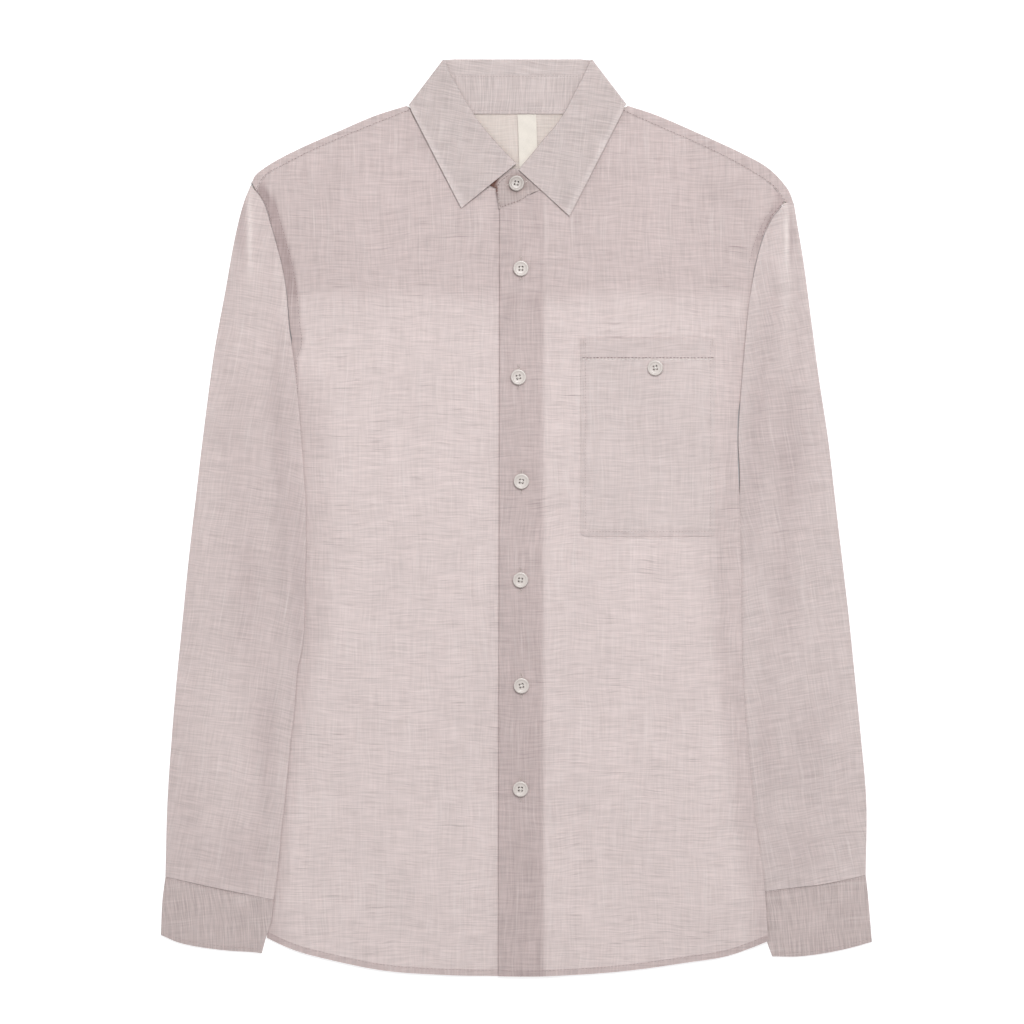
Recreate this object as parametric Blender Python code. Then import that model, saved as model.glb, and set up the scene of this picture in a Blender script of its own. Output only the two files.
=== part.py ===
"""A long-sleeve button-front shirt in thin slub linen, laid flat on its back on a table.

X runs towards the wearer's left, Y from hem to collar and Z up from the table. Tables and named sizes are in
millimetres, and the meshes in metres. Every cloth piece starts as its middle surface, a grid of points, and a
Solidify modifier gives it its wall. Layers lie on each other one LEVEL apart.
"""

from collections import namedtuple

import bmesh
import bpy
import numpy as np

MM = 0.001
WALL = 1.0
GAP = 0.3
LEVEL = WALL + GAP
SEAM = GAP / 2 + 0.05

# How high the fronts and the sleeves' upper layers puff over the layer below, and over what width.
BODY_LOFT = 1.2
SLEEVE_LOFT = 1.3
CUFF_LOFT = 0.5
EDGE_RISE = 28.0
SLEEVE_REST = 10.0
SLEEVE_RISE = 14.0

# Where a side or a sleeve climbs onto its neighbour.
CLIMB = 2 * LEVEL
CLIMB_RUN = 12.0
CLIMB_CLEAR = 2.5
CLIMB_SPREAD = 28.0
FRONT_AHEAD = 0.6

YOKE_BACK_Y = 188.8

# Heights between which the edges are looked for, and how closely.
LOWEST_Y = -400.0
HIGHEST_Y = 400.0
CLOSE_ENOUGH = 0.001

# On the left the sleeve lies on the body above the first height, and the body on the sleeve below the second.
OVERLAP_LEFT_Y = 67.0
UNDERLAP_LEFT_Y = 60.0

FRONT_EDGE_TOP_X = -14.4
FRONT_EDGE_HEM_X = -15.7
FACING_X = 23.0
FACING_SHORT = 0.8
LAP_MIDDLE_X = 4.0
LAP_CLEAR = 6.0
STRIP_FALL = 24.0
BACK_HEM_RISE = 1.5

BUTTON_RADIUS = 6.6
BUTTON_HEIGHT = 2.6
BUTTON_RIM = 1.5
BUTTON_DISH = 0.7
BUTTON_EDGE = 0.6
HOLE_RADIUS = 0.75
HOLE_OFFSET = 1.55
HOLE_SIDES = 8
BUTTON_SIDES = 20

# Where the grids of the pieces have their rows and columns, as shares of a piece's length and width.
BODY_ROWS = (
    0.0, 0.025, 0.05, 0.075, 0.1, 0.125, 0.15, 0.175, 0.2, 0.237, 0.274, 0.311, 0.349, 0.386, 0.423, 0.46,
    0.52, 0.58, 0.64, 0.7, 0.76, 0.82, 0.88, 0.94, 1.0,
)
BACK_ROWS = 24
YOKE_ROWS = (0.012, 0.06, 0.12, 0.19, 0.3, 0.55, 0.78, 1.0)
SLEEVE_COLUMNS = (0, 0.06, 0.2, 0.4, 0.6, 0.74, 0.86, 0.94, 1.0)
SLEEVE_CLOSE_ROWS = 8
SLEEVE_CLOSE_END = 0.24
SLEEVE_FAR_ROWS = 15
SLEEVE_OPENS = 0.12
CUFF_COLUMNS = (0, 0.1, 0.35, 0.65, 0.8, 0.9, 1.0)
CUFF_ROWS = (0, 0.33, 0.66, 1.0)
CUFF_OPEN = (0.6, 1, 1, 1)
FALL_ROWS = (0.22, 0.5, 0.78, 1.0)
STAND_ROWS = (0, 0.5, 1.0)
POCKET_COLUMNS = (0, 0.044, 0.25, 0.5, 0.75, 0.956, 1.0)
POCKET_ROWS = (0, 0.1, 0.3, 0.5, 0.7, 0.88, 0.97, 1.0)
FOLD_TURNS = np.radians([90, 45, 0, -45, -90])

# How bluntly a loft and a soft fold end, and the angles above which an edge is drawn sharp.
LOFT_BLUNT = 0.8
FOLD_BLUNT = 0.7
CLOTH_SHARP = 0.7
BUTTON_SHARP = 0.6

LINEN = (0.69, 0.59, 0.575, 1)
COLLAR_LINEN = (0.66, 0.60, 0.585, 1)
CUFF_LINEN = (0.56, 0.48, 0.465, 1)
LABEL_CLOTH = (0.86, 0.82, 0.76, 1)
SHELL_WHITE = (0.88, 0.86, 0.84, 1)

# Shoulder, from the tip to the neck: outline x, y and the seam between yoke and front x, y.
Shoulder = namedtuple("Shoulder", "x y seam_x seam_y")
SHOULDER_RIGHT = (
    Shoulder(-225.2, 284.4, -220.9, 277.4),
    Shoulder(-220.4, 292.5, -214.0, 289.0),
    Shoulder(-204.5, 303.3, -200.0, 297.6),
    Shoulder(-182.5, 314.5, -180.0, 308.0),
    Shoulder(-151.0, 328.4, -150.0, 321.6),
    Shoulder(-121.0, 341.3, -120.0, 333.8),
    Shoulder(-93.0, 350.2, -90.0, 345.8),
)
SHOULDER_LEFT = (
    Shoulder(236.0, 266.6, 227.9, 268.2),
    Shoulder(230.1, 280.2, 219.4, 279.7),
    Shoulder(214.3, 296.9, 205.0, 290.3),
    Shoulder(190.5, 310.3, 180.0, 304.6),
    Shoulder(153.0, 327.5, 150.0, 318.9),
    Shoulder(120.8, 341.4, 113.1, 335.0),
    Shoulder(94.4, 350.3, 90.0, 345.4),
)

# Neckline of each front, from the shoulder to its front edge: x, y.
NECK_RIGHT = ((-87.5, 340.0), (-68.0, 316.5), (-45.0, 297.0), (-20.0, 283.0), (1.0, 273.5), (23.0, 263.5))
NECK_LEFT = ((87.5, 340.0), (66.0, 310.0), (45.0, 290.4), (23.0, 279.2), (4.0, 270.5), (-14.4, 261.9))
YOKE_NECK = ((-91.5, 347.0), (-84.0, 346.6), (-74.0, 345.2), (-58.0, 344.5), (0.0, 344.5), (59.0, 344.5),
             (75.0, 345.2), (85.0, 346.6), (92.5, 347.0))

# Edges of the body, armhole and side seam together: y, x.
BODY_RIGHT = (
    (282.7, -225.2), (267.0, -214.1), (250.8, -209.0), (233.0, -203.9), (216.8, -199.7), (193.0, -195.4),
    (182.0, -194.2), (160.0, -192.2), (150.0, -190.8), (134.0, -195.0), (100.0, -194.0), (14.0, -191.2),
    (-70.0, -191.2), (-155.0, -196.3), (-240.0, -203.5), (-320.0, -209.9), (-356.9, -212.0),
)
BODY_LEFT = (
    (268.0, 227.6), (260.2, 221.9), (255.1, 217.7), (250.0, 215.1), (243.2, 211.7), (236.4, 208.9),
    (222.0, 204.8), (208.3, 201.6), (198.0, 200.6), (180.0, 203.5), (150.0, 203.0), (128.0, 200.0),
    (108.0, 193.5), (97.0, 189.7), (61.3, 187.9), (18.8, 189.1), (-36.5, 190.8), (-87.5, 191.2), (-130.8, 192.2),
    (-164.0, 193.9), (-198.0, 196.9), (-232.8, 200.3), (-266.0, 204.1), (-293.2, 208.2), (-315.3, 210.8),
    (-359.5, 213.7),
)

# Armholes from the shoulder's outline to the underarm: x, y.
ARMHOLE_RIGHT = ((-225.6, 281.9), (-214.1, 267.0), (-209.0, 250.8), (-203.9, 233.0), (-199.7, 216.8),
                 (-195.4, 193.0), (-194.6, 182.0))
ARMHOLE_LEFT = ((236.0, 266.1), (228.4, 265.3), (221.9, 260.2), (217.7, 255.1), (215.1, 250.0),
                (211.7, 243.2), (209.2, 236.4))

# Inner edges of the sleeves from the underarm to the cuff, and outer edges from the shoulder: y, x.
SLEEVE_IN_RIGHT = (
    (182.0, -194.6), (159.9, -192.9), (136.5, -189.5), (116.5, -186.9), (90.2, -184.4), (48.5, -181.0),
    (5.2, -178.4), (-21.2, -178.4), (-70.5, -179.3), (-108.7, -181.0), (-130.8, -185.5), (-161.4, -187.8),
    (-189.5, -191.2), (-232.8, -195.4), (-267.7, -199.2), (-302.5, -202.6), (-324.6, -205.6),
)
SLEEVE_IN_LEFT = (
    (236.4, 209.2), (222.0, 205.1), (208.3, 201.9), (176.9, 196.8), (152.2, 194.3), (128.0, 192.2),
    (95.3, 189.6), (65.5, 188.2), (25.0, 189.2), (0.0, 185.0), (-36.5, 183.0), (-87.5, 183.2), (-130.8, 184.2),
    (-164.0, 186.0), (-198.0, 189.0), (-232.8, 193.0), (-266.0, 197.5), (-293.2, 202.5), (-318.0, 207.0),
)
SLEEVE_OUT_RIGHT = (
    (281.9, -225.6), (269.5, -231.1), (244.0, -237.9), (193.0, -247.3), (142.0, -256.6), (65.5, -266.8),
    (14.5, -272.8), (-36.5, -278.7), (-87.5, -283.8), (-138.5, -288.9), (-189.5, -293.2), (-240.5, -296.6),
    (-305.1, -298.4),
)
SLEEVE_OUT_LEFT = (
    (266.1, 236.0), (256.8, 237.2), (218.5, 244.0), (167.5, 250.8), (116.5, 257.6), (65.5, 265.3),
    (14.5, 271.2), (-36.5, 277.2), (-87.5, 283.1), (-138.5, 288.2), (-189.5, 293.3), (-240.5, 297.6),
    (-303.7, 297.1),
)

# Cuffs, all from the outer edge to the inner one: x, y.
CUFF_SEAM_RIGHT = ((-298.4, -305.1), (-268.0, -311.9), (-243.9, -317.0), (-205.6, -324.6))
CUFF_END_RIGHT = ((-302.2, -354.4), (-287.2, -360.8), (-254.5, -366.8), (-215.8, -369.7))
CUFF_OUT_RIGHT = ((-298.4, -305.1), (-300.9, -325.0), (-302.2, -354.4))
CUFF_IN_RIGHT = ((-205.6, -324.6), (-208.2, -345.0), (-212.4, -356.9), (-215.8, -369.7))
CUFF_SEAM_LEFT = ((297.1, -303.7), (279.7, -307.6), (257.2, -311.9), (236.0, -314.4), (207.0, -318.0))
CUFF_END_LEFT = ((302.3, -360.3), (284.0, -365.4), (263.6, -369.7), (238.9, -372.8), (217.2, -372.8))
CUFF_OUT_LEFT = ((297.1, -303.7), (298.9, -320.0), (302.3, -360.3))
CUFF_IN_LEFT = ((207.0, -318.0), (209.5, -345.0), (212.6, -360.0), (217.2, -372.8))

HEM = (
    (-212.0, -356.9), (-199.7, -362.9), (-186.9, -368.0), (-158.0, -375.6), (-113.8, -384.5), (-61.1, -388.4),
    (-14.4, -389.4), (24.7, -389.4), (88.5, -385.4), (142.5, -378.2), (182.8, -371.4), (213.7, -359.5),
)

# Soft folds of the upper layers: from x, y to x, y, their height and half their width.
Fold = namedtuple("Fold", "x y to_x to_y height half")
FOLDS = (
    Fold(-150, 250, -120, 60, 0.7, 26),
    Fold(-70, 180, -88, -60, 0.5, 22),
    Fold(-150, -40, -168, -300, 0.8, 24),
    Fold(-96, -150, -104, -384, 0.9, 20),
    Fold(-44, -230, -46, -388, 0.6, 14),
    Fold(78, -110, 70, -386, 0.8, 20),
    Fold(140, -60, 152, -376, 0.9, 24),
    Fold(196, 230, 150, 170, 0.6, 20),
    Fold(-238, 240, -262, 20, 0.7, 12),
    Fold(-228, 60, -262, -250, 0.8, 16),
    Fold(246, 200, 262, -20, 0.6, 12),
    Fold(232, 40, 262, -260, 0.8, 16),
)

# The collar band from the wearer's right tip round the neck to the left tip. Each station gives, in plan, the
# roll line, the outer edge of the fall, the seam between fall and stand, and the neck edge of the stand.
# turn is how far the band has gone round the folded side of the neck, from 0 in front to 180 behind.
Station = namedtuple("Station", "roll_x roll_y edge_x edge_y seam_x seam_y neck_x neck_y edge_z turn side")
BAND = (
    Station(0.4, 300.6, -46.7, 262.7, -5.5, 297.2, -15.0, 278.6, 5.0, 0, -1),
    Station(-12.0, 313.2, -55.7, 280.2, -21.0, 305.8, -31.0, 286.6, 5.0, 0, -1),
    Station(-24.0, 326.8, -64.7, 297.7, -33.5, 318.5, -47.0, 297.4, 5.0, 0, -1),
    Station(-34.8, 340.6, -73.7, 315.3, -45.0, 332.8, -63.0, 311.6, 5.0, 0, -1),
    Station(-48.5, 363.4, -82.7, 332.8, -59.0, 354.0, -78.0, 329.0, 5.0, 0, -1),
    Station(-57.5, 380.0, -89.0, 345.0, -67.0, 368.0, -85.6, 341.0, 5.0, 0, -1),
    Station(-62.0, 389.4, -91.7, 350.3, -69.5, 376.3, -85.6, 350.4, 5.0, 20, -1),
    Station(-62.0, 389.4, -91.7, 350.3, -69.5, 376.3, -85.6, 350.4, 5.0, 90, -1),
    Station(-62.0, 389.4, -91.7, 350.3, -69.5, 376.3, -85.6, 350.4, 5.0, 160, -1),
    Station(-52.0, 389.4, -78.0, 347.4, -60.0, 376.6, -74.0, 345.0, 5.0, 180, -1),
    Station(-38.0, 389.4, -57.0, 346.2, -44.0, 376.6, -50.0, 343.0, 5.0, 180, -1),
    Station(-14.0, 389.4, -20.0, 346.0, -15.0, 376.6, -18.0, 343.0, 5.0, 180, -1),
    Station(15.0, 389.4, 21.0, 346.0, 16.0, 376.6, 19.0, 343.0, 6.0, 180, 1),
    Station(40.0, 389.4, 58.0, 346.2, 46.0, 376.6, 52.0, 343.0, 6.0, 180, 1),
    Station(54.0, 389.4, 80.0, 347.6, 62.0, 376.6, 76.0, 345.2, 6.0, 180, 1),
    Station(64.2, 389.4, 93.6, 351.1, 71.5, 376.3, 87.0, 351.0, 6.0, 160, 1),
    Station(64.2, 389.4, 93.6, 351.1, 71.5, 376.3, 87.0, 351.0, 6.0, 90, 1),
    Station(64.2, 389.4, 93.6, 351.1, 71.5, 376.3, 87.0, 351.0, 6.0, 20, 1),
    Station(59.5, 380.5, 90.0, 344.1, 69.5, 368.0, 85.8, 341.0, 6.0, 0, 1),
    Station(49.5, 361.0, 82.0, 328.2, 61.5, 352.0, 76.5, 326.6, 6.0, 0, 1),
    Station(38.0, 339.4, 71.0, 306.6, 49.0, 332.0, 62.0, 308.2, 5.9, 0, 1),
    Station(23.0, 321.0, 60.0, 285.0, 34.0, 313.5, 46.0, 293.2, 5.7, 0, 1),
    Station(11.5, 307.0, 51.0, 267.4, 21.0, 300.0, 30.0, 283.2, 5.4, 0, 1),
    Station(1.8, 295.2, 45.1, 255.9, 9.0, 291.0, 19.0, 277.6, 5.2, 0, 1),
)

# The stand's two front ends, past the first and last stations: top x, y and neck x, y.
End = namedtuple("End", "x y neck_x neck_y")
STAND_END_RIGHT = (End(3.5, 289.5, 1.0, 278.0), End(1.5, 294.5, -7.0, 276.6))
STAND_END_LEFT = (
    End(0.9, 294.6, 12.0, 274.5), End(-9.3, 288.2, 3.5, 270.7), End(-15.0, 281.6, -5.0, 266.8),
    End(-16.9, 276.3, -12.4, 263.4),
)

# Heights of the collar's layers in front: of the fall at the roll, and of what is under it.
FALL_ROLL_Z = 6.4
FALL_CROWN = 0.5
UNDER_RIGHT_LEVEL = 2
UNDER_LEFT_LEVEL = 3

POCKET_LEFT_X = 54.5
POCKET_RIGHT_X = 169.1
POCKET_TOP_Y = 152.2
POCKET_FOOT_Y = -16.1
POCKET_CORNER = 1.5
POCKET_CLEAR = 0.1

LABEL_X = 1.0
LABEL_TOP_Y = 342.4
LABEL_WIDTH = 15.8
LABEL_LENGTH = 46.0
LABEL_TILT = 0.035

# Buttons: name, x, y.
BUTTONS = (
    ("button_1", 3.9, 211.3), ("button_2", 1.8, 119.1), ("button_3", 4.3, 30.7), ("button_4", 3.5, -53.0),
    ("button_5", 4.3, -142.7), ("button_6", 3.5, -230.3),
)
NECK_BUTTON = ("button_neck", 0.1, 283.6)
POCKET_BUTTON = ("button_pocket", 117.9, 127.0)


def level(number):
    """Height of the middle of a layer, counted from the one on the table."""
    return WALL / 2 + number * LEVEL


def step(value):
    """Smooth rise from 0 to 1."""
    value = np.clip(value, 0, 1)
    return value * value * (3 - 2 * value)


def smooth(knots, values, where):
    """A smooth curve through rows of a table, level beyond its ends."""
    order = np.argsort(knots)
    knots = np.asarray(knots, float)[order]
    values = np.asarray(values, float)[order]
    slopes = np.diff(values) / np.diff(knots)
    tangents = np.concatenate([slopes[:1], (slopes[:-1] + slopes[1:]) / 2, slopes[-1:]])
    where = np.clip(where, knots[0], knots[-1])
    i = np.clip(np.searchsorted(knots, where) - 1, 0, len(knots) - 2)
    width = knots[i + 1] - knots[i]
    t = (where - knots[i]) / width
    ends = values[i] * (1 + 2 * t) * (1 - t) ** 2 + values[i + 1] * t * t * (3 - 2 * t)
    return ends + width * (tangents[i] * t * (1 - t) ** 2 - tangents[i + 1] * t * t * (1 - t))


def edge(table, y):
    """x of an edge table at a height."""
    return smooth([row[0] for row in table], [row[1] for row in table], y)


def along(points, fractions):
    """Points on the smooth line through some plan points, at fractions of its length."""
    points = np.asarray(points, float)
    steps = np.hypot(*np.diff(points, axis=0).T)
    knots = np.concatenate([[0], np.cumsum(steps)]) / steps.sum()
    return np.stack([smooth(knots, points[:, i], np.asarray(fractions)) for i in (0, 1)], axis=-1)


def flip(table):
    """An edge table, y first, as plan points."""
    return [(x, y) for y, x in table]


def coons(top, foot, out, inner, across, down):
    """Plan points inside four border lines, as rows by columns by 2. The lines share their corners."""
    u = np.asarray(across)[None, :, None]
    v = np.asarray(down)[:, None, None]
    a, c = along(top, across)[None], along(foot, across)[None]
    o, i = along(out, down)[:, None], along(inner, down)[:, None]
    upper = (1 - u) * a[:, :1] + u * a[:, -1:]
    lower = (1 - u) * c[:, :1] + u * c[:, -1:]
    corners = (1 - v) * upper + v * lower
    return (1 - v) * a + v * c + (1 - u) * o + u * i - corners


def folds(x, y):
    """Height that the soft folds add."""
    height = np.zeros(np.broadcast(x, y).shape)
    for f in FOLDS:
        run = np.array([f.to_x - f.x, f.to_y - f.y], float)
        length = np.hypot(*run)
        t = ((x - f.x) * run[0] + (y - f.y) * run[1]) / length**2
        off = ((x - f.x) * run[1] - (y - f.y) * run[0]) / length
        ends = np.sin(np.pi * np.clip(t, 0, 1)) ** FOLD_BLUNT
        height = height + f.height * ends * np.exp(-((off / f.half) ** 2))
    return height


def climb_start(y):
    """x where the body's left side starts to climb onto the sleeve beside it."""
    return edge(SLEEVE_IN_LEFT, y) - CLIMB_CLEAR - CLIMB_RUN


def climb_body(x, y, from_y):
    """How far the body's left side lies up on the sleeve beside it, below a height."""
    return CLIMB * step((x - climb_start(y)) / CLIMB_RUN) * step((from_y - y) / CLIMB_SPREAD)


def climb_sleeve(x, y):
    """How far a sleeve's inner side lies up on the body beside it."""
    right = step((x - edge(BODY_RIGHT, y) + CLIMB_CLEAR + CLIMB_RUN) / CLIMB_RUN)
    right = right * step((ARMHOLE_RIGHT[-1][1] - y) / CLIMB_SPREAD)
    left = step((edge(BODY_LEFT, y) + CLIMB_CLEAR + CLIMB_RUN - x) / CLIMB_RUN)
    left = left * step((ARMHOLE_LEFT[-1][1] - y) / CLIMB_SPREAD) * step((y - OVERLAP_LEFT_Y) / CLIMB_SPREAD)
    return CLIMB * np.where(x < 0, right, left)


def front_top(x, shoulder, neck):
    """Height of the upper edge of a front at x: its shoulder seam, then its neckline."""
    rows = sorted([(s.seam_x, s.seam_y) for s in shoulder] + list(neck))
    return np.interp(x, [row[0] for row in rows], [row[1] for row in rows])


def right_top(x):
    return front_top(x, SHOULDER_RIGHT, NECK_RIGHT)


def left_top(x):
    return front_top(x, SHOULDER_LEFT, NECK_LEFT)


def rest_right(y):
    """x inside which the right front is free of the sleeve on it."""
    return edge(SLEEVE_IN_RIGHT, y) + CLIMB_CLEAR


def puff(x, y, top):
    """Loft of the fronts: none at seams and beside the sleeves, more inside, with the soft folds on it."""
    side = np.minimum(x - rest_right(y), climb_start(y) - x)
    inside = step(side / EDGE_RISE) * step((top - y) / (2 * EDGE_RISE))
    return inside * (BODY_LOFT + folds(x, y))


def right_front_z(x, y, top):
    """Middle surface of the right front: it lies low where the left front laps over it."""
    strip = step((FRONT_EDGE_TOP_X - LAP_CLEAR - x) / STRIP_FALL)
    return level(1) + puff(x, y, top) * strip


def left_front_z(x, y, top):
    """Middle surface of the left front: high on the lap, then down to the back."""
    fall = step((x - FACING_X) / STRIP_FALL)
    climb = climb_body(x + FRONT_AHEAD, y, UNDERLAP_LEFT_Y + CLIMB_RUN)
    return level(3) + (level(1) - level(3) + puff(x, y, top)) * fall + climb


def material(name, colour, roughness):
    made = bpy.data.materials.new(name)
    made.use_nodes = True
    shader = made.node_tree.nodes["Principled BSDF"]
    shader.inputs["Base Color"].default_value = colour
    shader.inputs["Roughness"].default_value = roughness
    shader.inputs["Metallic"].default_value = 0.0
    return made


def cloth(name, grid, colour, ring=False, even=True):
    """One cloth piece from its middle surface: rows by columns of points, NaN where there is none."""
    rows, columns = grid.shape[:2]
    mesh = bpy.data.meshes.new(name)
    made = bmesh.new()
    verts = {
        (r, c): made.verts.new(grid[r, c] * MM)
        for r in range(rows)
        for c in range(columns)
        if np.isfinite(grid[r, c]).all()
    }
    for r in range(rows - 1):
        for c in range(columns if ring else columns - 1):
            corners = [(r, c), (r + 1, c), (r + 1, (c + 1) % columns), (r, (c + 1) % columns)]
            if all(corner in verts for corner in corners):
                made.faces.new([verts[corner] for corner in corners])
    bmesh.ops.recalc_face_normals(made, faces=made.faces)
    made.to_mesh(mesh)
    made.free()
    mesh.shade_smooth()
    mesh.set_sharp_from_angle(angle=CLOTH_SHARP)
    piece = bpy.data.objects.new(name, mesh)
    bpy.context.scene.collection.objects.link(piece)
    piece.data.materials.append(material(name, colour, 0.9))
    wall = piece.modifiers.new("wall", "SOLIDIFY")
    wall.thickness = WALL * MM
    wall.offset = 0
    wall.use_even_offset = even
    wall.use_quality_normals = True
    return piece


def hem_y(x):
    return smooth([row[0] for row in HEM], [row[1] for row in HEM], x)


def across_right(share, y):
    """x of a column near the right side: share 1 to 2 where the loft starts, 3 at the side."""
    inner = rest_right(y)
    return piecewise(share, (inner + EDGE_RISE, inner, edge(BODY_RIGHT, y) + SEAM))


def across_left(share, y):
    """x of a column near the left side: share 1 to 2 where the loft starts, 3 past the climb, 4 at the side."""
    climb = climb_start(y)
    return piecewise(share, (climb - EDGE_RISE, climb, climb + CLIMB_RUN, edge(BODY_LEFT, y) - SEAM))


def piecewise(share, ends):
    """Straight steps between the ends, which are at the whole shares from 1 up."""
    i = min(int(share) - 1, len(ends) - 2)
    return ends[i] + (share - i - 1) * (ends[i + 1] - ends[i])


def panel(columns, top, foot, shares):
    """Plan points of a body panel, from each column's x at a height, and its upper and lower heights."""
    down = np.asarray(shares)[:, None]
    y = top[None, :] * (1 - down) + foot[None, :] * down
    return np.stack([column(y[:, i]) for i, column in enumerate(columns)], axis=1), y


def fixed(x):
    return lambda y: x + 0 * y


def shared(across, share):
    return lambda y: across(share, y)


RIGHT_SIDE = (3.0, 2.6, 2.3, 2.0, 1.75, 1.5, 1.25, 1.0)
LEFT_SIDE = (1.0, 1.25, 1.5, 1.75, 2.0, 2.33, 2.67, 3.0, 3.5, 4.0)
RIGHT_INNER = (-120.0, -104.0, -90.0, -66.0, -42.0, -20.4, -10.4, 4.0, 23.0)
LEFT_INNER = (29.0, 35.0, 41.0, 47.0, 66.0, 90.0, 113.0)
BACK_INNER = (-120.0, -80.0, -40.0, 0.0, 40.0, 80.0, 113.0)


def meets(column, line):
    """Height at which a column of a panel meets the line of the panel's upper or lower edge."""
    low, high = LOWEST_Y, HIGHEST_Y
    while high - low > CLOSE_ENOUGH:
        middle = (low + high) / 2
        if line(column(np.array([middle])))[0] > middle:
            low = middle
        else:
            high = middle
    return middle


def ends_of(columns, *lines):
    """The heights at which each column meets each of these lines."""
    return [np.array([meets(column, line) for column in columns]) for line in lines]


def front_right():
    columns = [shared(across_right, share) for share in RIGHT_SIDE] + [fixed(x) for x in RIGHT_INNER]
    top, foot = ends_of(columns, right_top, hem_y)
    x, y = panel(columns, top, foot, BODY_ROWS)
    return cloth("front_right", np.stack([x, y, right_front_z(x, y, top[None, :])], axis=-1), LINEN)


def front_left():
    """The left front: its facing folded under at the front edge, then the panel as far as the side."""
    bend = LEVEL / 2
    turn = FOLD_TURNS[::-1]
    fold_x = FRONT_EDGE_TOP_X + bend + WALL / 2 - bend * np.cos(turn)
    fold_z = (level(2) + level(3)) / 2 + bend * np.sin(turn)
    facing_x = (FACING_X - FACING_SHORT, LAP_MIDDLE_X)
    columns = [fixed(x) for x in (*facing_x, *fold_x, LAP_MIDDLE_X, FACING_X, *LEFT_INNER)]
    columns += [shared(across_left, share) for share in LEFT_SIDE]
    top, foot = ends_of(columns, left_top, hem_y)
    x, y = panel(columns, top, foot, BODY_ROWS)
    z = left_front_z(x, y, top[None, :])
    fold = slice(len(facing_x), len(facing_x) + len(turn))
    z[:, : fold.start] = level(2)
    z[:, fold] = fold_z
    lean = (FRONT_EDGE_HEM_X - FRONT_EDGE_TOP_X) * np.array(BODY_ROWS)
    x[:, fold.start - 1 : fold.stop + 1] += lean[:, None]
    return cloth("front_left", np.stack([x, y, z], axis=-1), LINEN)


def back():
    """The back panel under the yoke, flat on the table but for the side that lies on the left sleeve."""
    columns = [shared(across_right, share) for share in (3.0, 2.0, 1.0)] + [fixed(x) for x in BACK_INNER]
    columns += [shared(across_left, share) for share in LEFT_SIDE]
    foot = ends_of(columns, hem_y)[0] + BACK_HEM_RISE
    top = np.full(len(columns), YOKE_BACK_Y - SEAM)
    x, y = panel(columns, top, foot, np.linspace(0, 1, BACK_ROWS))
    return cloth("back", np.stack([x, y, level(0) + climb_body(x, y, UNDERLAP_LEFT_Y)], axis=-1), LINEN)


def shoulder_columns(rows):
    """For each shoulder row: the strip on the front, and the turn over the shoulder to the back's layer."""
    bend = LEVEL / 2
    outline = np.array([(s.x, s.y) for s in rows])
    tangent = np.gradient(outline, axis=0)
    outward = np.stack([-tangent[:, 1], tangent[:, 0]], axis=1) / np.hypot(*tangent.T)[:, None]
    for s, point, out in zip(rows, outline, outward):
        axis = point - out * (bend + WALL / 2)
        column = [(s.seam_x, s.seam_y + SEAM, level(1))]
        for turn in FOLD_TURNS:
            plan = axis + out * bend * np.cos(turn)
            column.append((*plan, (level(0) + level(1)) / 2 + bend * np.sin(turn)))
        yield column


def yoke():
    """The yoke: a back panel that folds over at the shoulders and ends in a strip on each front."""
    down = np.array(YOKE_ROWS)
    blank = [(np.nan,) * 3] * len(FOLD_TURNS)
    columns = list(shoulder_columns(SHOULDER_RIGHT))
    columns += [blank + [(x, y, level(0))] for x, y in YOKE_NECK[1:-1]]
    columns += list(shoulder_columns(SHOULDER_LEFT[::-1]))
    tips = {-1: (BODY_RIGHT, abs(columns[0][-1][0])), 1: (BODY_LEFT, abs(columns[-1][-1][0]))}
    for column in columns:
        x_top, y_top = column[-1][:2]
        table, tip = tips[-1 if x_top < 0 else 1]
        y = y_top + (YOKE_BACK_Y + SEAM - y_top) * down
        side = np.minimum(abs(edge(table, y)) - SEAM, tip)
        column += [(x_top / tip * reach, height, level(0)) for reach, height in zip(side, y)]
    return cloth("yoke", np.array(columns).transpose(1, 0, 2), LINEN)


def tube(name, plan, across, colour, loft, open_edge):
    """A flattened tube: upper layer from the inner edge to the outer one, round it, and back underneath."""
    width = np.hypot(*(plan[:, -1] - plan[:, 0]).T)[:, None]
    x, y = plan[..., 0], plan[..., 1]
    lift = climb_sleeve(x, y)
    puffed = loft * np.sin(np.pi * across[None, :]) ** LOFT_BLUNT * open_edge[:, None]
    from_inner = (1 - across[None, :]) * width
    from_outer = across[None, :] * width
    puffed = (puffed + folds(x, y) * step(from_outer / SLEEVE_RISE) * open_edge[:, None])
    puffed = puffed * step((from_inner - SLEEVE_REST) / SLEEVE_RISE)
    low = level(0) + lift
    high = low + LEVEL + puffed
    bend = LEVEL / 2
    outward = (plan[:, :1] - plan[:, 1:2]) / np.hypot(*(plan[:, 0] - plan[:, 1]).T)[:, None, None]
    inward = (plan[:, -1:] - plan[:, -2:-1]) / np.hypot(*(plan[:, -1] - plan[:, -2]).T)[:, None, None]
    inset = bend + WALL / 2
    plan = plan.copy()
    plan[:, 0] -= outward[:, 0] * inset
    plan[:, -1] -= inward[:, 0] * inset
    turns = FOLD_TURNS[1:-1]
    upper = np.concatenate([plan, high[..., None]], axis=-1)
    lower = np.concatenate([plan, low[..., None]], axis=-1)
    out_turn = np.stack([
        np.concatenate([plan[:, 0] + outward[:, 0] * bend * np.cos(t),
                        (low[:, :1] + high[:, :1]) / 2 + bend * np.sin(t)], axis=-1) for t in turns], axis=1)
    in_turn = np.stack([
        np.concatenate([plan[:, -1] + inward[:, 0] * bend * np.cos(t),
                        (low[:, -1:] + high[:, -1:]) / 2 - bend * np.sin(t)], axis=-1) for t in turns], axis=1)
    grid = np.concatenate([upper[:, ::-1], out_turn, lower, in_turn], axis=1)
    return cloth(name, grid, colour, ring=True)


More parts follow.
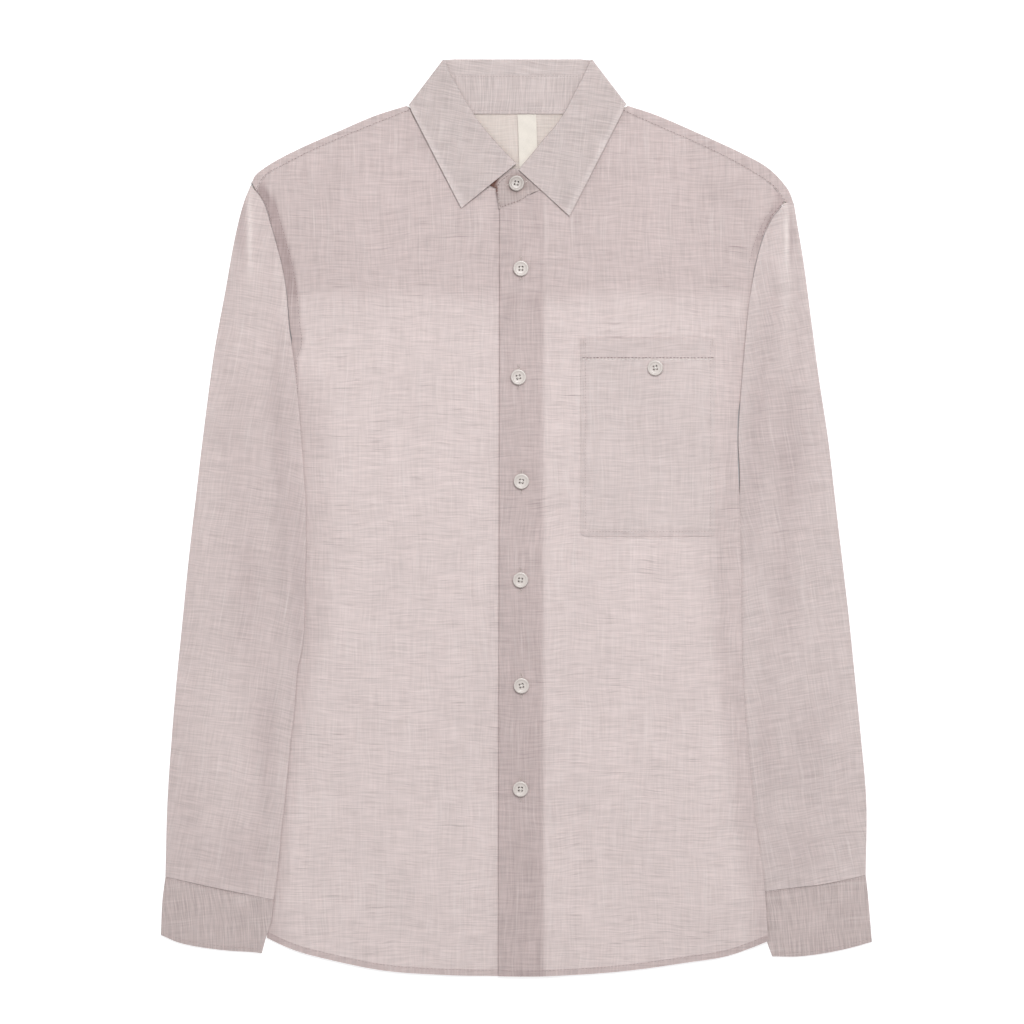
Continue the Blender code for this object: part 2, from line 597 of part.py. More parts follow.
def sleeve(name, armhole, seam, out, inner, shift):
    """A sleeve between its armhole and its cuff, clear of both."""
    across = np.array(SLEEVE_COLUMNS)
    close = np.linspace(0, SLEEVE_CLOSE_END, SLEEVE_CLOSE_ROWS)
    down = np.concatenate([close, np.linspace(SLEEVE_CLOSE_END, 1, SLEEVE_FAR_ROWS)[1:]])
    plan = coons(armhole, seam, flip(out), flip(inner), across, down)
    plan[0] += shift
    plan[-1] += (0, SEAM)
    return tube(name, plan, across, LINEN, SLEEVE_LOFT, step(down / SLEEVE_OPENS))


def cuff(name, seam, end, out, inner):
    across = np.array(CUFF_COLUMNS)
    plan = coons(seam, end, out, inner, across, CUFF_ROWS)
    plan[0] -= (0, SEAM)
    return tube(name, plan, across, CUFF_LINEN, CUFF_LOFT, np.array(CUFF_OPEN))


def turned(front_z, back_z, turn):
    """Height on the way round the neck's folded side, and how far out from the fold's axis it is."""
    radius = (front_z - back_z) / 2
    angle = np.radians(turn)
    return (front_z + back_z) / 2 + radius * np.cos(angle), radius * np.sin(angle)


def band_point(plan, outward, front_z, back_z, turn):
    z, out = turned(front_z, back_z, turn)
    shift = outward * (out - (front_z - back_z) / 2 - WALL / 2) if 0 < turn < 180 else 0
    return np.array([*(plan + shift), z])


def fold_normal(station):
    """Plan direction away from the garment, across the folded side of the collar."""
    down = np.array([station.edge_x - station.roll_x, station.edge_y - station.roll_y])
    down /= np.hypot(*down)
    return np.array([down[1], -down[0]]) * -station.side * np.sign(-down[1])


def under_level(station):
    return level(UNDER_RIGHT_LEVEL if station.side < 0 else UNDER_LEFT_LEVEL)


def fall():
    """The collar's fall: from the stand's seam up to the roll line, over it and down to the outer edge."""
    columns = []
    for s in BAND:
        roll, rim = np.array([s.roll_x, s.roll_y]), np.array([s.edge_x, s.edge_y])
        seam = np.array([s.seam_x, s.seam_y])
        beyond = (roll - rim) / np.hypot(*(roll - rim))
        outward = fold_normal(s)
        front_gap = FALL_ROLL_Z - under_level(s)
        gap = front_gap if s.turn < 90 else LEVEL
        if s.turn == 90:
            gap = front_gap / 2 + LEVEL / 2
        roll = roll - beyond * (gap / 2 + WALL / 2)
        inner = band_point(roll, outward, under_level(s), level(1), s.turn)
        outer = band_point(roll, outward, FALL_ROLL_Z, level(0), s.turn)
        centre = (inner + outer) / 2
        reach = np.array([*beyond, 0]) * np.linalg.norm(outer - inner) / 2
        seam_point = band_point(seam, outward, under_level(s), level(1), s.turn)
        column = [seam_point, inner]
        for turn in np.radians([45, 90, 135]):
            column.append(centre + (inner - centre) * np.cos(turn) + reach * np.sin(turn))
        column.append(outer)
        for share in FALL_ROWS:
            front_z = FALL_ROLL_Z + (s.edge_z - FALL_ROLL_Z) * share + FALL_CROWN * np.sin(np.pi * share)
            column.append(band_point(roll + (rim - roll) * share, outward, front_z, level(0), s.turn))
        columns.append(column)
    return cloth("collar", np.array(columns).transpose(1, 0, 2), COLLAR_LINEN, even=False)


def stand():
    """The collar stand: its right end under the lap, round the neck, and its left end buttoned over."""
    columns = []
    for e in STAND_END_RIGHT:
        columns.append(stand_column((e.x, e.y), (e.neck_x, e.neck_y), level(UNDER_RIGHT_LEVEL)))
    for s in BAND:
        outward = fold_normal(s)
        seam, neck = np.array([s.seam_x, s.seam_y]), np.array([s.neck_x, s.neck_y])
        away = (neck - seam) / np.hypot(*(neck - seam))
        seam = seam + away * (2 * SEAM)
        column = [band_point(seam + (neck - seam) * t, outward, under_level(s), level(1), s.turn)
                  for t in STAND_ROWS]
        columns.append(column)
    for e in STAND_END_LEFT:
        columns.append(stand_column((e.x, e.y), (e.neck_x, e.neck_y), level(UNDER_LEFT_LEVEL)))
    return cloth("collar_stand", np.array(columns).transpose(1, 0, 2), COLLAR_LINEN)


def stand_column(top, neck, z):
    top, neck = np.array(top), np.array(neck)
    return [np.array([*(top + (neck - top) * t), z]) for t in STAND_ROWS]


def pocket():
    """The chest pocket, on the left front's surface moved out by one level, its two lower corners rounded."""
    columns, rows = np.array(POCKET_COLUMNS), np.array(POCKET_ROWS)
    x = POCKET_LEFT_X + (POCKET_RIGHT_X - POCKET_LEFT_X) * columns[None, :] + 0 * rows[:, None]
    y = POCKET_TOP_Y + (POCKET_FOOT_Y - POCKET_TOP_Y) * rows[:, None] + 0 * columns[None, :]
    for column, inward in ((0, POCKET_CORNER), (-1, -POCKET_CORNER)):
        x[-1, column] += inward
        y[-1, column] += POCKET_CORNER
    z = left_front_z(x, y, left_top(x)) + LEVEL + POCKET_CLEAR
    return cloth("pocket", np.stack([x, y, z], axis=-1), LINEN)


def label():
    """The blank woven label that hangs inside the back neck."""
    columns, rows = np.array([0, 1.0]), np.array([0, 0.5, 1.0])
    y = LABEL_TOP_Y - LABEL_LENGTH * rows[:, None] + 0 * columns[None, :]
    x = LABEL_X + LABEL_WIDTH * columns[None, :] + LABEL_TILT * (LABEL_TOP_Y - y)
    return cloth("neck_label", np.stack([x, y, np.full(x.shape, level(1))], axis=-1), LABEL_CLOTH)


def button(name, x, y, base):
    """A four-hole button: a turned profile with a raised rim and a dished face, and four holes through it."""
    profile = (
        (0.0, 0.0), (BUTTON_RADIUS - BUTTON_EDGE, 0.0), (BUTTON_RADIUS, BUTTON_EDGE),
        (BUTTON_RADIUS, BUTTON_HEIGHT - BUTTON_EDGE), (BUTTON_RADIUS - BUTTON_EDGE, BUTTON_HEIGHT),
        (BUTTON_RADIUS - BUTTON_RIM, BUTTON_HEIGHT),
        (BUTTON_RADIUS - BUTTON_RIM - BUTTON_DISH, BUTTON_HEIGHT - BUTTON_DISH),
        (0.0, BUTTON_HEIGHT - BUTTON_DISH),
    )
    mesh = bpy.data.meshes.new(name)
    made = bmesh.new()
    rings = []
    for radius, z in profile:
        if radius == 0:
            rings.append([made.verts.new((0, 0, z * MM))])
            continue
        angles = np.linspace(0, 2 * np.pi, BUTTON_SIDES, endpoint=False)
        ring = [(radius * np.cos(a) * MM, radius * np.sin(a) * MM, z * MM) for a in angles]
        rings.append([made.verts.new(point) for point in ring])
    for low, high in zip(rings, rings[1:]):
        for i in range(BUTTON_SIDES):
            j = (i + 1) % BUTTON_SIDES
            corners = [low[i % len(low)], low[j % len(low)], high[j % len(high)], high[i % len(high)]]
            made.faces.new(list(dict.fromkeys(corners)))
    bmesh.ops.recalc_face_normals(made, faces=made.faces)
    made.to_mesh(mesh)
    made.free()
    mesh.shade_smooth()
    mesh.set_sharp_from_angle(angle=BUTTON_SHARP)
    piece = bpy.data.objects.new(name, mesh)
    bpy.context.scene.collection.objects.link(piece)
    piece.location = (x * MM, y * MM, base * MM)
    piece.data.materials.append(material(name, SHELL_WHITE, 0.35))
    for i, (side_x, side_y) in enumerate(((-1, -1), (1, -1), (1, 1), (-1, 1))):
        bpy.ops.mesh.primitive_cylinder_add(
            vertices=HOLE_SIDES, radius=HOLE_RADIUS * MM, depth=4 * BUTTON_HEIGHT * MM,
            location=((x + side_x * HOLE_OFFSET) * MM, (y + side_y * HOLE_OFFSET) * MM, base * MM),
        )
        cutter = bpy.context.object
        cutter.name = f"{name}_hole_{i + 1}"
        cutter.hide_render = True
        cutter.display_type = "WIRE"
        hole = piece.modifiers.new(cutter.name, "BOOLEAN")
        hole.operation = "DIFFERENCE"
        hole.object = cutter
        hole.solver = "EXACT"
    return piece


def buttons():
    lap = level(3) + WALL / 2 + GAP
    for name, x, y in BUTTONS + (NECK_BUTTON,):
        button(name, x, y, lap)
    name, x, y = POCKET_BUTTON
    around = x + BUTTON_RADIUS * np.array([-1, 0, 1, 0, 0.0])
    over = y + BUTTON_RADIUS * np.array([0, -1, 0, 1, 0.0])
    below = left_front_z(around, over, left_top(around)).max() + LEVEL + POCKET_CLEAR
    button(name, x, y, below + WALL / 2 + GAP)


def build():
    for obj in list(bpy.data.objects):
        bpy.data.objects.remove(obj)
    back()
    yoke()
    front_right()
    front_left()
    sleeve("sleeve_right", ARMHOLE_RIGHT, CUFF_SEAM_RIGHT, SLEEVE_OUT_RIGHT, SLEEVE_IN_RIGHT, (-0.35, -0.3))
    sleeve("sleeve_left", ARMHOLE_LEFT, CUFF_SEAM_LEFT, SLEEVE_OUT_LEFT, SLEEVE_IN_LEFT, (0.4, -0.45))
    cuff("cuff_right", CUFF_SEAM_RIGHT, CUFF_END_RIGHT, CUFF_OUT_RIGHT, CUFF_IN_RIGHT)
    cuff("cuff_left", CUFF_SEAM_LEFT, CUFF_END_LEFT, CUFF_OUT_LEFT, CUFF_IN_LEFT)
    fall()
    stand()
    pocket()
    label()
    buttons()


build()
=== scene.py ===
"""Looks of the long-sleeve shirt: thin linen shells on the forms of its solids, with weave, creases and stitching.

Tables and sizes are in millimetres, in the same frame as the solids: X to the wearer's left, Y to the collar,
Z up from the table. Each shell follows the middle surface of its solid, on a finer grid.
"""

from collections import namedtuple

import bmesh
import bpy
import numpy as np
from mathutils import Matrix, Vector
from mathutils.bvhtree import BVHTree


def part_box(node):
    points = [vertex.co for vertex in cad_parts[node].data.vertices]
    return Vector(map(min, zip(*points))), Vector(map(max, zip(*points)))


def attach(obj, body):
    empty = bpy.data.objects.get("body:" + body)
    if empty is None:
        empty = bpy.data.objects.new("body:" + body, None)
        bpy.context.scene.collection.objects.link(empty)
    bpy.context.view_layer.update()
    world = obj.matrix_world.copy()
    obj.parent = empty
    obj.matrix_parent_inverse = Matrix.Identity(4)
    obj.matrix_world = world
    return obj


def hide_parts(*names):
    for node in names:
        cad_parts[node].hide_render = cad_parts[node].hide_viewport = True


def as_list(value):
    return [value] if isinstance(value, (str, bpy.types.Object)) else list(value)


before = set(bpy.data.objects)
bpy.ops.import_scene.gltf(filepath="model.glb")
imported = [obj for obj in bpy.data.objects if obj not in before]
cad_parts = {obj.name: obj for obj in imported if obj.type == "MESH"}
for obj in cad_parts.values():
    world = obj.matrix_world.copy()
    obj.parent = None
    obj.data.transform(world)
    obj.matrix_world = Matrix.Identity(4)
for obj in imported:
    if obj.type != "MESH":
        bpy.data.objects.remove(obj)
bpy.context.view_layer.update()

MM = 0.001
WALL = 1.0
GAP = 0.3
LEVEL = WALL + GAP
SHELL = 0.5
COLLAR_SHELL = 0.8
SEAM = 0.12
STEP_MM = 3.0

# The steps round a folded edge, and those of the yoke's strip on the front.
HALF_TURN = np.radians(np.linspace(90, -90, 9))
STRIP_STEPS = 6

# How high the fronts and the sleeves' upper layers puff over the layer below, and over what width that starts.
BODY_LOFT = 1.2
SLEEVE_LOFT = 1.3
CUFF_LOFT = 0.5
EDGE_RISE = 28.0
SLEEVE_REST = 10.0
SLEEVE_RISE = 14.0

# Where a side or a sleeve climbs onto its neighbour.
CLIMB = 2 * LEVEL
CLIMB_RUN = 12.0
CLIMB_CLEAR = 2.5
CLIMB_SPREAD = 28.0
FRONT_AHEAD = 0.6

YOKE_BACK_Y = 188.8

# Heights between which the edges are looked for, and how closely.
LOWEST_Y = -400.0
HIGHEST_Y = 400.0
CLOSE_ENOUGH = 0.001

# On the left the sleeve lies on the body above the first height, and the body on the sleeve below the second.
OVERLAP_LEFT_Y = 67.0
UNDERLAP_LEFT_Y = 60.0

FRONT_EDGE_TOP_X = -14.4
FRONT_EDGE_HEM_X = -15.7
FACING_X = 23.0
STRIP_FALL = 24.0
BACK_HEM_RISE = 1.5

BUTTON_RADIUS = 6.6
HOLE_RADIUS = 0.85
HOLE_OFFSET = 1.25
BUTTONHOLE = 20.0

# The hem: its band, close rows of points along it, and how far its turned cloth stands up.
HEM_BAND = 5.6
HEM_ROWS = (8.0, 6.4, 5.9, 5.3, 4.0, 2.0, 0.7, 0.0)
HEM_RIDGE = 0.2

# How much lower the rim of the fall is than in the solid, and the gap between fall and stand.
LEAF_DROP = 0.6
STAND_GAP = 0.05

# Shoulder, from the tip to the neck: outline x, y and the seam between yoke and front x, y.
Shoulder = namedtuple("Shoulder", "x y seam_x seam_y")
SHOULDER_RIGHT = (
    Shoulder(-225.2, 284.4, -220.9, 277.4),
    Shoulder(-220.4, 292.5, -214.0, 289.0),
    Shoulder(-204.5, 303.3, -200.0, 297.6),
    Shoulder(-182.5, 314.5, -180.0, 308.0),
    Shoulder(-151.0, 328.4, -150.0, 321.6),
    Shoulder(-121.0, 341.3, -120.0, 333.8),
    Shoulder(-93.0, 350.2, -90.0, 345.8),
)
SHOULDER_LEFT = (
    Shoulder(236.0, 266.6, 227.9, 268.2),
    Shoulder(230.1, 280.2, 219.4, 279.7),
    Shoulder(214.3, 296.9, 205.0, 290.3),
    Shoulder(190.5, 310.3, 180.0, 304.6),
    Shoulder(153.0, 327.5, 150.0, 318.9),
    Shoulder(120.8, 341.4, 113.1, 335.0),
    Shoulder(94.4, 350.3, 90.0, 345.4),
)

# Neckline of each front, from the shoulder to its front edge: x, y.
NECK_RIGHT = ((-87.5, 340.0), (-68.0, 316.5), (-45.0, 297.0), (-20.0, 283.0), (1.0, 273.5), (23.0, 263.5))
NECK_LEFT = ((87.5, 340.0), (66.0, 310.0), (45.0, 290.4), (23.0, 279.2), (4.0, 270.5), (-14.4, 261.9))
YOKE_NECK = ((-91.5, 347.0), (-84.0, 346.6), (-74.0, 345.2), (-58.0, 344.5), (0.0, 344.5), (59.0, 344.5),
             (75.0, 345.2), (85.0, 346.6), (92.5, 347.0))

# Edges of the body, armhole and side seam together: y, x.
BODY_RIGHT = (
    (282.7, -225.2), (267.0, -214.1), (250.8, -209.0), (233.0, -203.9), (216.8, -199.7), (193.0, -195.4),
    (182.0, -194.2), (160.0, -192.2), (150.0, -190.8), (134.0, -195.0), (100.0, -194.0), (14.0, -191.2),
    (-70.0, -191.2), (-155.0, -196.3), (-240.0, -203.5), (-320.0, -209.9), (-356.9, -212.0),
)
BODY_LEFT = (
    (268.0, 227.6), (260.2, 221.9), (255.1, 217.7), (250.0, 215.1), (243.2, 211.7), (236.4, 208.9),
    (222.0, 204.8), (208.3, 201.6), (198.0, 200.6), (180.0, 203.5), (150.0, 203.0), (128.0, 200.0), (108.0, 193.5),
    (97.0, 189.7), (61.3, 187.9), (18.8, 189.1), (-36.5, 190.8), (-87.5, 191.2), (-130.8, 192.2),
    (-164.0, 193.9), (-198.0, 196.9), (-232.8, 200.3), (-266.0, 204.1), (-293.2, 208.2), (-315.3, 210.8),
    (-359.5, 213.7),
)

# Armholes from the shoulder's outline to the underarm: x, y.
ARMHOLE_RIGHT = ((-225.5, 283.0), (-214.1, 267.0), (-209.0, 250.8), (-203.9, 233.0), (-199.7, 216.8),
                 (-195.4, 193.0), (-194.6, 182.0))
ARMHOLE_LEFT = ((236.0, 266.3), (228.4, 267.6), (225.3, 264.4), (221.9, 260.2), (217.7, 255.1), (215.1, 250.0),
                (211.7, 243.2), (209.2, 236.4))

# Inner edges of the sleeves from the underarm to the cuff, and outer edges from the shoulder: y, x.
SLEEVE_IN_RIGHT = (
    (182.0, -194.6), (159.9, -192.9), (136.5, -189.5), (116.5, -186.9), (90.2, -184.4), (48.5, -181.0),
    (5.2, -178.4), (-21.2, -178.4), (-70.5, -179.3), (-108.7, -181.0), (-130.8, -185.5), (-161.4, -187.8),
    (-189.5, -191.2), (-232.8, -195.4), (-267.7, -199.2), (-302.5, -202.6), (-324.6, -205.6),
)
SLEEVE_IN_LEFT = (
    (236.4, 209.2), (222.0, 205.1), (208.3, 201.9), (176.9, 196.8), (152.2, 194.3), (128.0, 192.2), (95.3, 189.6),
    (65.5, 188.2), (25.0, 189.2), (0.0, 185.0), (-36.5, 183.0), (-87.5, 183.2), (-130.8, 184.2),
    (-164.0, 186.0), (-198.0, 189.0), (-232.8, 193.0), (-266.0, 197.5), (-293.2, 202.5), (-318.0, 207.0),
)
SLEEVE_OUT_RIGHT = (
    (283.0, -225.5), (269.5, -231.1), (244.0, -237.9), (193.0, -247.3), (142.0, -256.6), (65.5, -266.8),
    (14.5, -272.8), (-36.5, -278.7), (-87.5, -283.8), (-138.5, -288.9), (-189.5, -293.2), (-240.5, -296.6),
    (-305.1, -298.4),
)
SLEEVE_OUT_LEFT = (
    (266.3, 236.0), (256.8, 237.6), (218.5, 244.0), (167.5, 250.8), (116.5, 257.6), (65.5, 265.3),
    (14.5, 271.2), (-36.5, 277.2), (-87.5, 283.1), (-138.5, 288.2), (-189.5, 293.3), (-240.5, 297.6),
    (-303.7, 297.1),
)

# Cuffs, all from the outer edge to the inner one: x, y.
CUFF_SEAM_RIGHT = ((-298.4, -305.1), (-268.0, -311.9), (-243.9, -317.0), (-205.6, -324.6))
CUFF_END_RIGHT = ((-302.2, -354.4), (-287.2, -360.8), (-254.5, -366.8), (-215.8, -369.7))
CUFF_OUT_RIGHT = ((-298.4, -305.1), (-300.9, -325.0), (-302.2, -354.4))
CUFF_IN_RIGHT = ((-205.6, -324.6), (-208.2, -345.0), (-212.4, -356.9), (-215.8, -369.7))
CUFF_SEAM_LEFT = ((297.1, -303.7), (279.7, -307.6), (257.2, -311.9), (236.0, -314.4), (207.0, -318.0))
CUFF_END_LEFT = ((302.3, -360.3), (284.0, -365.4), (263.6, -369.7), (238.9, -372.8), (217.2, -372.8))
CUFF_OUT_LEFT = ((297.1, -303.7), (298.9, -320.0), (302.3, -360.3))
CUFF_IN_LEFT = ((207.0, -318.0), (209.5, -345.0), (212.6, -360.0), (217.2, -372.8))

HEM = (
    (-212.0, -356.9), (-199.7, -362.9), (-186.9, -368.0), (-158.0, -375.6), (-113.8, -384.5), (-61.1, -388.4),
    (-14.4, -389.4), (24.7, -389.4), (88.5, -385.4), (142.5, -378.2), (182.8, -371.4), (213.7, -359.5),
)

# Soft folds of the upper layers: from x, y to x, y, their height and half their width.
Fold = namedtuple("Fold", "x y to_x to_y height half")
FOLDS = (
    Fold(-150, 250, -120, 60, 0.7, 26),
    Fold(-70, 180, -88, -60, 0.5, 22),
    Fold(-150, -40, -168, -300, 0.8, 24),
    Fold(-96, -150, -104, -384, 0.9, 20),
    Fold(-44, -230, -46, -388, 0.6, 14),
    Fold(78, -110, 70, -386, 0.8, 20),
    Fold(140, -60, 152, -376, 0.9, 24),
    Fold(196, 230, 150, 170, 0.6, 20),
    Fold(-238, 240, -262, 20, 0.7, 12),
    Fold(-228, 60, -262, -250, 0.8, 16),
    Fold(246, 200, 262, -20, 0.6, 12),
    Fold(232, 40, 262, -260, 0.8, 16),
)

# The collar band from the wearer's right tip round the neck to the left tip. Each station gives, in plan, the
# roll line, the outer edge of the fall, the seam between fall and stand, and the neck edge of the stand.
# turn is how far the band has gone round the folded side of the neck, from 0 in front to 180 behind.
Station = namedtuple("Station", "roll_x roll_y edge_x edge_y seam_x seam_y neck_x neck_y edge_z turn side")
BAND = (
    Station(0.4, 300.6, -46.7, 262.7, -5.5, 297.2, -15.0, 278.6, 5.0, 0, -1),
    Station(-12.0, 313.2, -55.7, 280.2, -21.0, 305.8, -31.0, 286.6, 5.0, 0, -1),
    Station(-24.0, 326.8, -64.7, 297.7, -33.5, 318.5, -47.0, 297.4, 5.0, 0, -1),
    Station(-34.8, 340.6, -73.7, 315.3, -45.0, 332.8, -63.0, 311.6, 5.0, 0, -1),
    Station(-48.5, 363.4, -82.7, 332.8, -59.0, 354.0, -78.0, 329.0, 5.0, 0, -1),
    Station(-57.5, 380.0, -89.0, 345.0, -67.0, 368.0, -85.6, 341.0, 5.0, 0, -1),
    Station(-62.0, 389.4, -91.7, 350.3, -69.5, 376.3, -85.6, 350.4, 5.0, 20, -1),
    Station(-62.0, 389.4, -91.7, 350.3, -69.5, 376.3, -85.6, 350.4, 5.0, 90, -1),
    Station(-62.0, 389.4, -91.7, 350.3, -69.5, 376.3, -85.6, 350.4, 5.0, 160, -1),
    Station(-52.0, 389.4, -78.0, 347.4, -60.0, 376.6, -74.0, 345.0, 5.0, 180, -1),
    Station(-38.0, 389.4, -57.0, 346.2, -44.0, 376.6, -50.0, 343.0, 5.0, 180, -1),
    Station(-14.0, 389.4, -20.0, 346.0, -15.0, 376.6, -18.0, 343.0, 5.0, 180, -1),
    Station(15.0, 389.4, 21.0, 346.0, 16.0, 376.6, 19.0, 343.0, 6.0, 180, 1),
    Station(40.0, 389.4, 58.0, 346.2, 46.0, 376.6, 52.0, 343.0, 6.0, 180, 1),
    Station(54.0, 389.4, 80.0, 347.6, 62.0, 376.6, 76.0, 345.2, 6.0, 180, 1),
    Station(64.2, 389.4, 93.6, 351.1, 71.5, 376.3, 87.0, 351.0, 6.0, 160, 1),
    Station(64.2, 389.4, 93.6, 351.1, 71.5, 376.3, 87.0, 351.0, 6.0, 90, 1),
    Station(64.2, 389.4, 93.6, 351.1, 71.5, 376.3, 87.0, 351.0, 6.0, 20, 1),
    Station(59.5, 380.5, 90.0, 344.1, 69.5, 368.0, 85.8, 341.0, 6.0, 0, 1),
    Station(49.5, 361.0, 82.0, 328.2, 61.5, 352.0, 76.5, 326.6, 6.0, 0, 1),
    Station(38.0, 339.4, 71.0, 306.6, 49.0, 332.0, 62.0, 308.2, 5.9, 0, 1),
    Station(23.0, 321.0, 60.0, 285.0, 34.0, 313.5, 46.0, 293.2, 5.7, 0, 1),
    Station(11.5, 307.0, 51.0, 267.4, 21.0, 300.0, 30.0, 283.2, 5.4, 0, 1),
    Station(1.8, 295.2, 45.1, 255.9, 9.0, 291.0, 19.0, 277.6, 5.2, 0, 1),
)

# The stand's two front ends, past the first and last stations: top x, y and neck x, y.
End = namedtuple("End", "x y neck_x neck_y")
STAND_END_RIGHT = (End(3.5, 289.5, 1.0, 278.0), End(1.5, 294.5, -7.0, 276.6))
STAND_END_LEFT = (
    End(-0.2, 296.4, 12.0, 274.6), End(-7.6, 291.6, 4.5, 268.7), End(-12.7, 288.2, -2.0, 266.2),
    End(-16.1, 284.0, -8.0, 264.1), End(-17.2, 278.0, -14.6, 261.9),
)

# Heights of the collar's layers in front: of the fall at the roll, and of what is under it.
FALL_ROLL_Z = 6.4
FALL_CROWN = 0.5
UNDER_RIGHT_LEVEL = 2
UNDER_LEFT_LEVEL = 3

POCKET_LEFT_X = 54.5
POCKET_RIGHT_X = 169.1
POCKET_TOP_Y = 152.2
POCKET_FOOT_Y = -16.1
POCKET_CLEAR = 0.1
POCKET_ROUND = 4.5
POCKET_SEWN = 0.62
POCKET_HEADER_Y = 135.6
POCKET_IN = 4.2

LABEL_X = 1.0
LABEL_TOP_Y = 342.4
LABEL_WIDTH = 15.8
LABEL_LENGTH = 46.0
LABEL_TILT = 0.035

# Buttons: name, x, y.
BUTTONS = (
    ("button_1", 3.9, 211.3), ("button_2", 1.8, 119.1), ("button_3", 4.3, 30.7), ("button_4", 3.5, -53.0),
    ("button_5", 4.3, -142.7), ("button_6", 3.5, -230.3),
)
NECK_BUTTON = ("button_neck", 0.1, 283.6)
POCKET_BUTTON = ("button_pocket", 117.9, 127.0)

# Tones, from 0 for one layer of cloth to 1 for two with a darker look; those marked so are painted light and
# shade. A fade is the share that is taken off.
HEM_TONE = 0.42
HEM_FADE_ON_LAP = 0.7
YOKE_TONE = 0.24
YOKE_SPREAD_TONE = 0.12
STRIP_TONE = 0.42
LAP_TONE = 0.5
LAP_FOOT_TONE = 0.1
LAP_FADE_ON_YOKE = 0.68
ALLOWANCE_RIGHT_TONE = 0.62
ALLOWANCE_LEFT_TONE = 0.46
# Painted soft shade on the body beside the sleeves.
BESIDE_SLEEVE_PAINTED_SHADE = 0.3
SLEEVE_TONE = 0.08
# Scale of the painted light and shade on the sleeves.
SLEEVE_PAINTED_SHADING = 0.75
UNDERSIDE_TONE = 0.6
CUFF_END_TONE = 0.25
CUFF_SEAM_TONE = 0.15
# A painted highlight along the fall's rim.
FALL_RIM_PAINTED_HIGHLIGHT = -0.4
FALL_INNER_TONE = -0.12
# Painted shade on the collar's tab, up to twice as dark just round the neck button.
TAB_PAINTED_SHADE = 0.52
# A painted shadow in the notch between the tab and the fall.
TAB_NOTCH_PAINTED_SHADOW = 1.8
POCKET_TONE = 0.1
POCKET_HEADER_TONE = 0.06
POCKET_SIDE_TONE = 0.05
POCKET_FOOT_TONE = 0.08

# Pleats where the sleeves are gathered into their armholes: from x, y to x, y, height and half width.
PLEATS = (
    Fold(-226.6, 279, -226.4, 208, 1.1, 2.4), Fold(-219, 262, -214, 226, 0.4, 2.4),
    Fold(229.5, 265, 229.5, 200, 0.9, 2.2), Fold(236, 263, 238, 226, 0.4, 1.6),
    Fold(224, 258, 222, 226, 0.5, 1.8), Fold(219, 250, 216, 228, 0.3, 1.6),
)

# Small creases of the cloth, on top of the soft folds: from x, y to x, y, height and half width.
CREASES = (
    Fold(-200, 230, -172, 196, 0.3, 7), Fold(-196, 186, -160, 168, 0.25, 8), Fold(-186, 140, -140, 96, 0.3, 10),
    Fold(-60, 236, -36, 120, 0.25, 12), Fold(-128, 210, -92, 168, 0.3, 9),
    Fold(-170, -200, -120, -250, 0.3, 12), Fold(-120, -300, -60, -330, 0.25, 10),
    Fold(-188, -330, -150, -352, 0.3, 7), Fold(-48, 40, -60, -120, 0.3, 9), Fold(44, -40, 56, -200, 0.3, 11),
    Fold(100, -60, 92, -180, 0.25, 10), Fold(60, -300, 150, -330, 0.3, 10), Fold(176, 120, 184, 20, 0.35, 7),
    Fold(172, -30, 166, -170, 0.4, 9), Fold(180, 214, 150, 190, 0.25, 8), Fold(190, -260, 168, -330, 0.35, 8),
    Fold(104, 250, 132, 182, 0.3, 10), Fold(64, 240, 72, 176, 0.25, 8), Fold(-250, 150, -232, 120, 0.35, 6),
    Fold(-262, 96, -214, 70, 0.4, 8), Fold(-270, 20, -222, 2, 0.35, 7), Fold(-262, -60, -206, -84, 0.4, 9),
    Fold(-284, -120, -226, -138, 0.35, 8), Fold(-280, -210, -216, -226, 0.4, 9),
    Fold(-290, -270, -230, -284, 0.35, 7), Fold(-248, -228, -244, -306, 0.3, 5),
    Fold(-272, -250, -270, -310, 0.3, 4), Fold(212, 150, 246, 172, 0.35, 7), Fold(210, 84, 252, 104, 0.4, 8),
    Fold(212, 20, 262, 30, 0.35, 7), Fold(214, -50, 274, -36, 0.4, 9), Fold(220, -124, 282, -112, 0.35, 8),
    Fold(222, -204, 286, -190, 0.4, 9), Fold(232, -270, 290, -258, 0.35, 7), Fold(240, -240, 244, -308, 0.3, 5),
    Fold(268, -246, 270, -306, 0.3, 4),
)


def level(number):
    """Height of the middle of a layer, counted from the one on the table."""
    return WALL / 2 + number * LEVEL


def step(value):
    """Smooth rise from 0 to 1."""
    value = np.clip(value, 0, 1)
    return value * value * (3 - 2 * value)


def smooth(knots, values, where):
    """A smooth curve through rows of a table, level beyond its ends."""
    order = np.argsort(knots)
    knots = np.asarray(knots, float)[order]
    values = np.asarray(values, float)[order]
    slopes = np.diff(values) / np.diff(knots)
    tangents = np.concatenate([slopes[:1], (slopes[:-1] + slopes[1:]) / 2, slopes[-1:]])
    where = np.clip(where, knots[0], knots[-1])
    i = np.clip(np.searchsorted(knots, where) - 1, 0, len(knots) - 2)
    width = knots[i + 1] - knots[i]
    t = (where - knots[i]) / width
    ends = values[i] * (1 + 2 * t) * (1 - t) ** 2 + values[i + 1] * t * t * (3 - 2 * t)
    return ends + width * (tangents[i] * t * (1 - t) ** 2 - tangents[i + 1] * t * t * (1 - t))


def edge(table, where):
    """On the smooth curve through a table's rows, the second value at one of the first: an edge's x at a y."""
    return smooth([row[0] for row in table], [row[1] for row in table], where)


def unit(directions):
    """The same directions in plan, each of length 1."""
    directions = np.asarray(directions, float)
    return directions / np.hypot(directions[..., 0], directions[..., 1])[..., None]


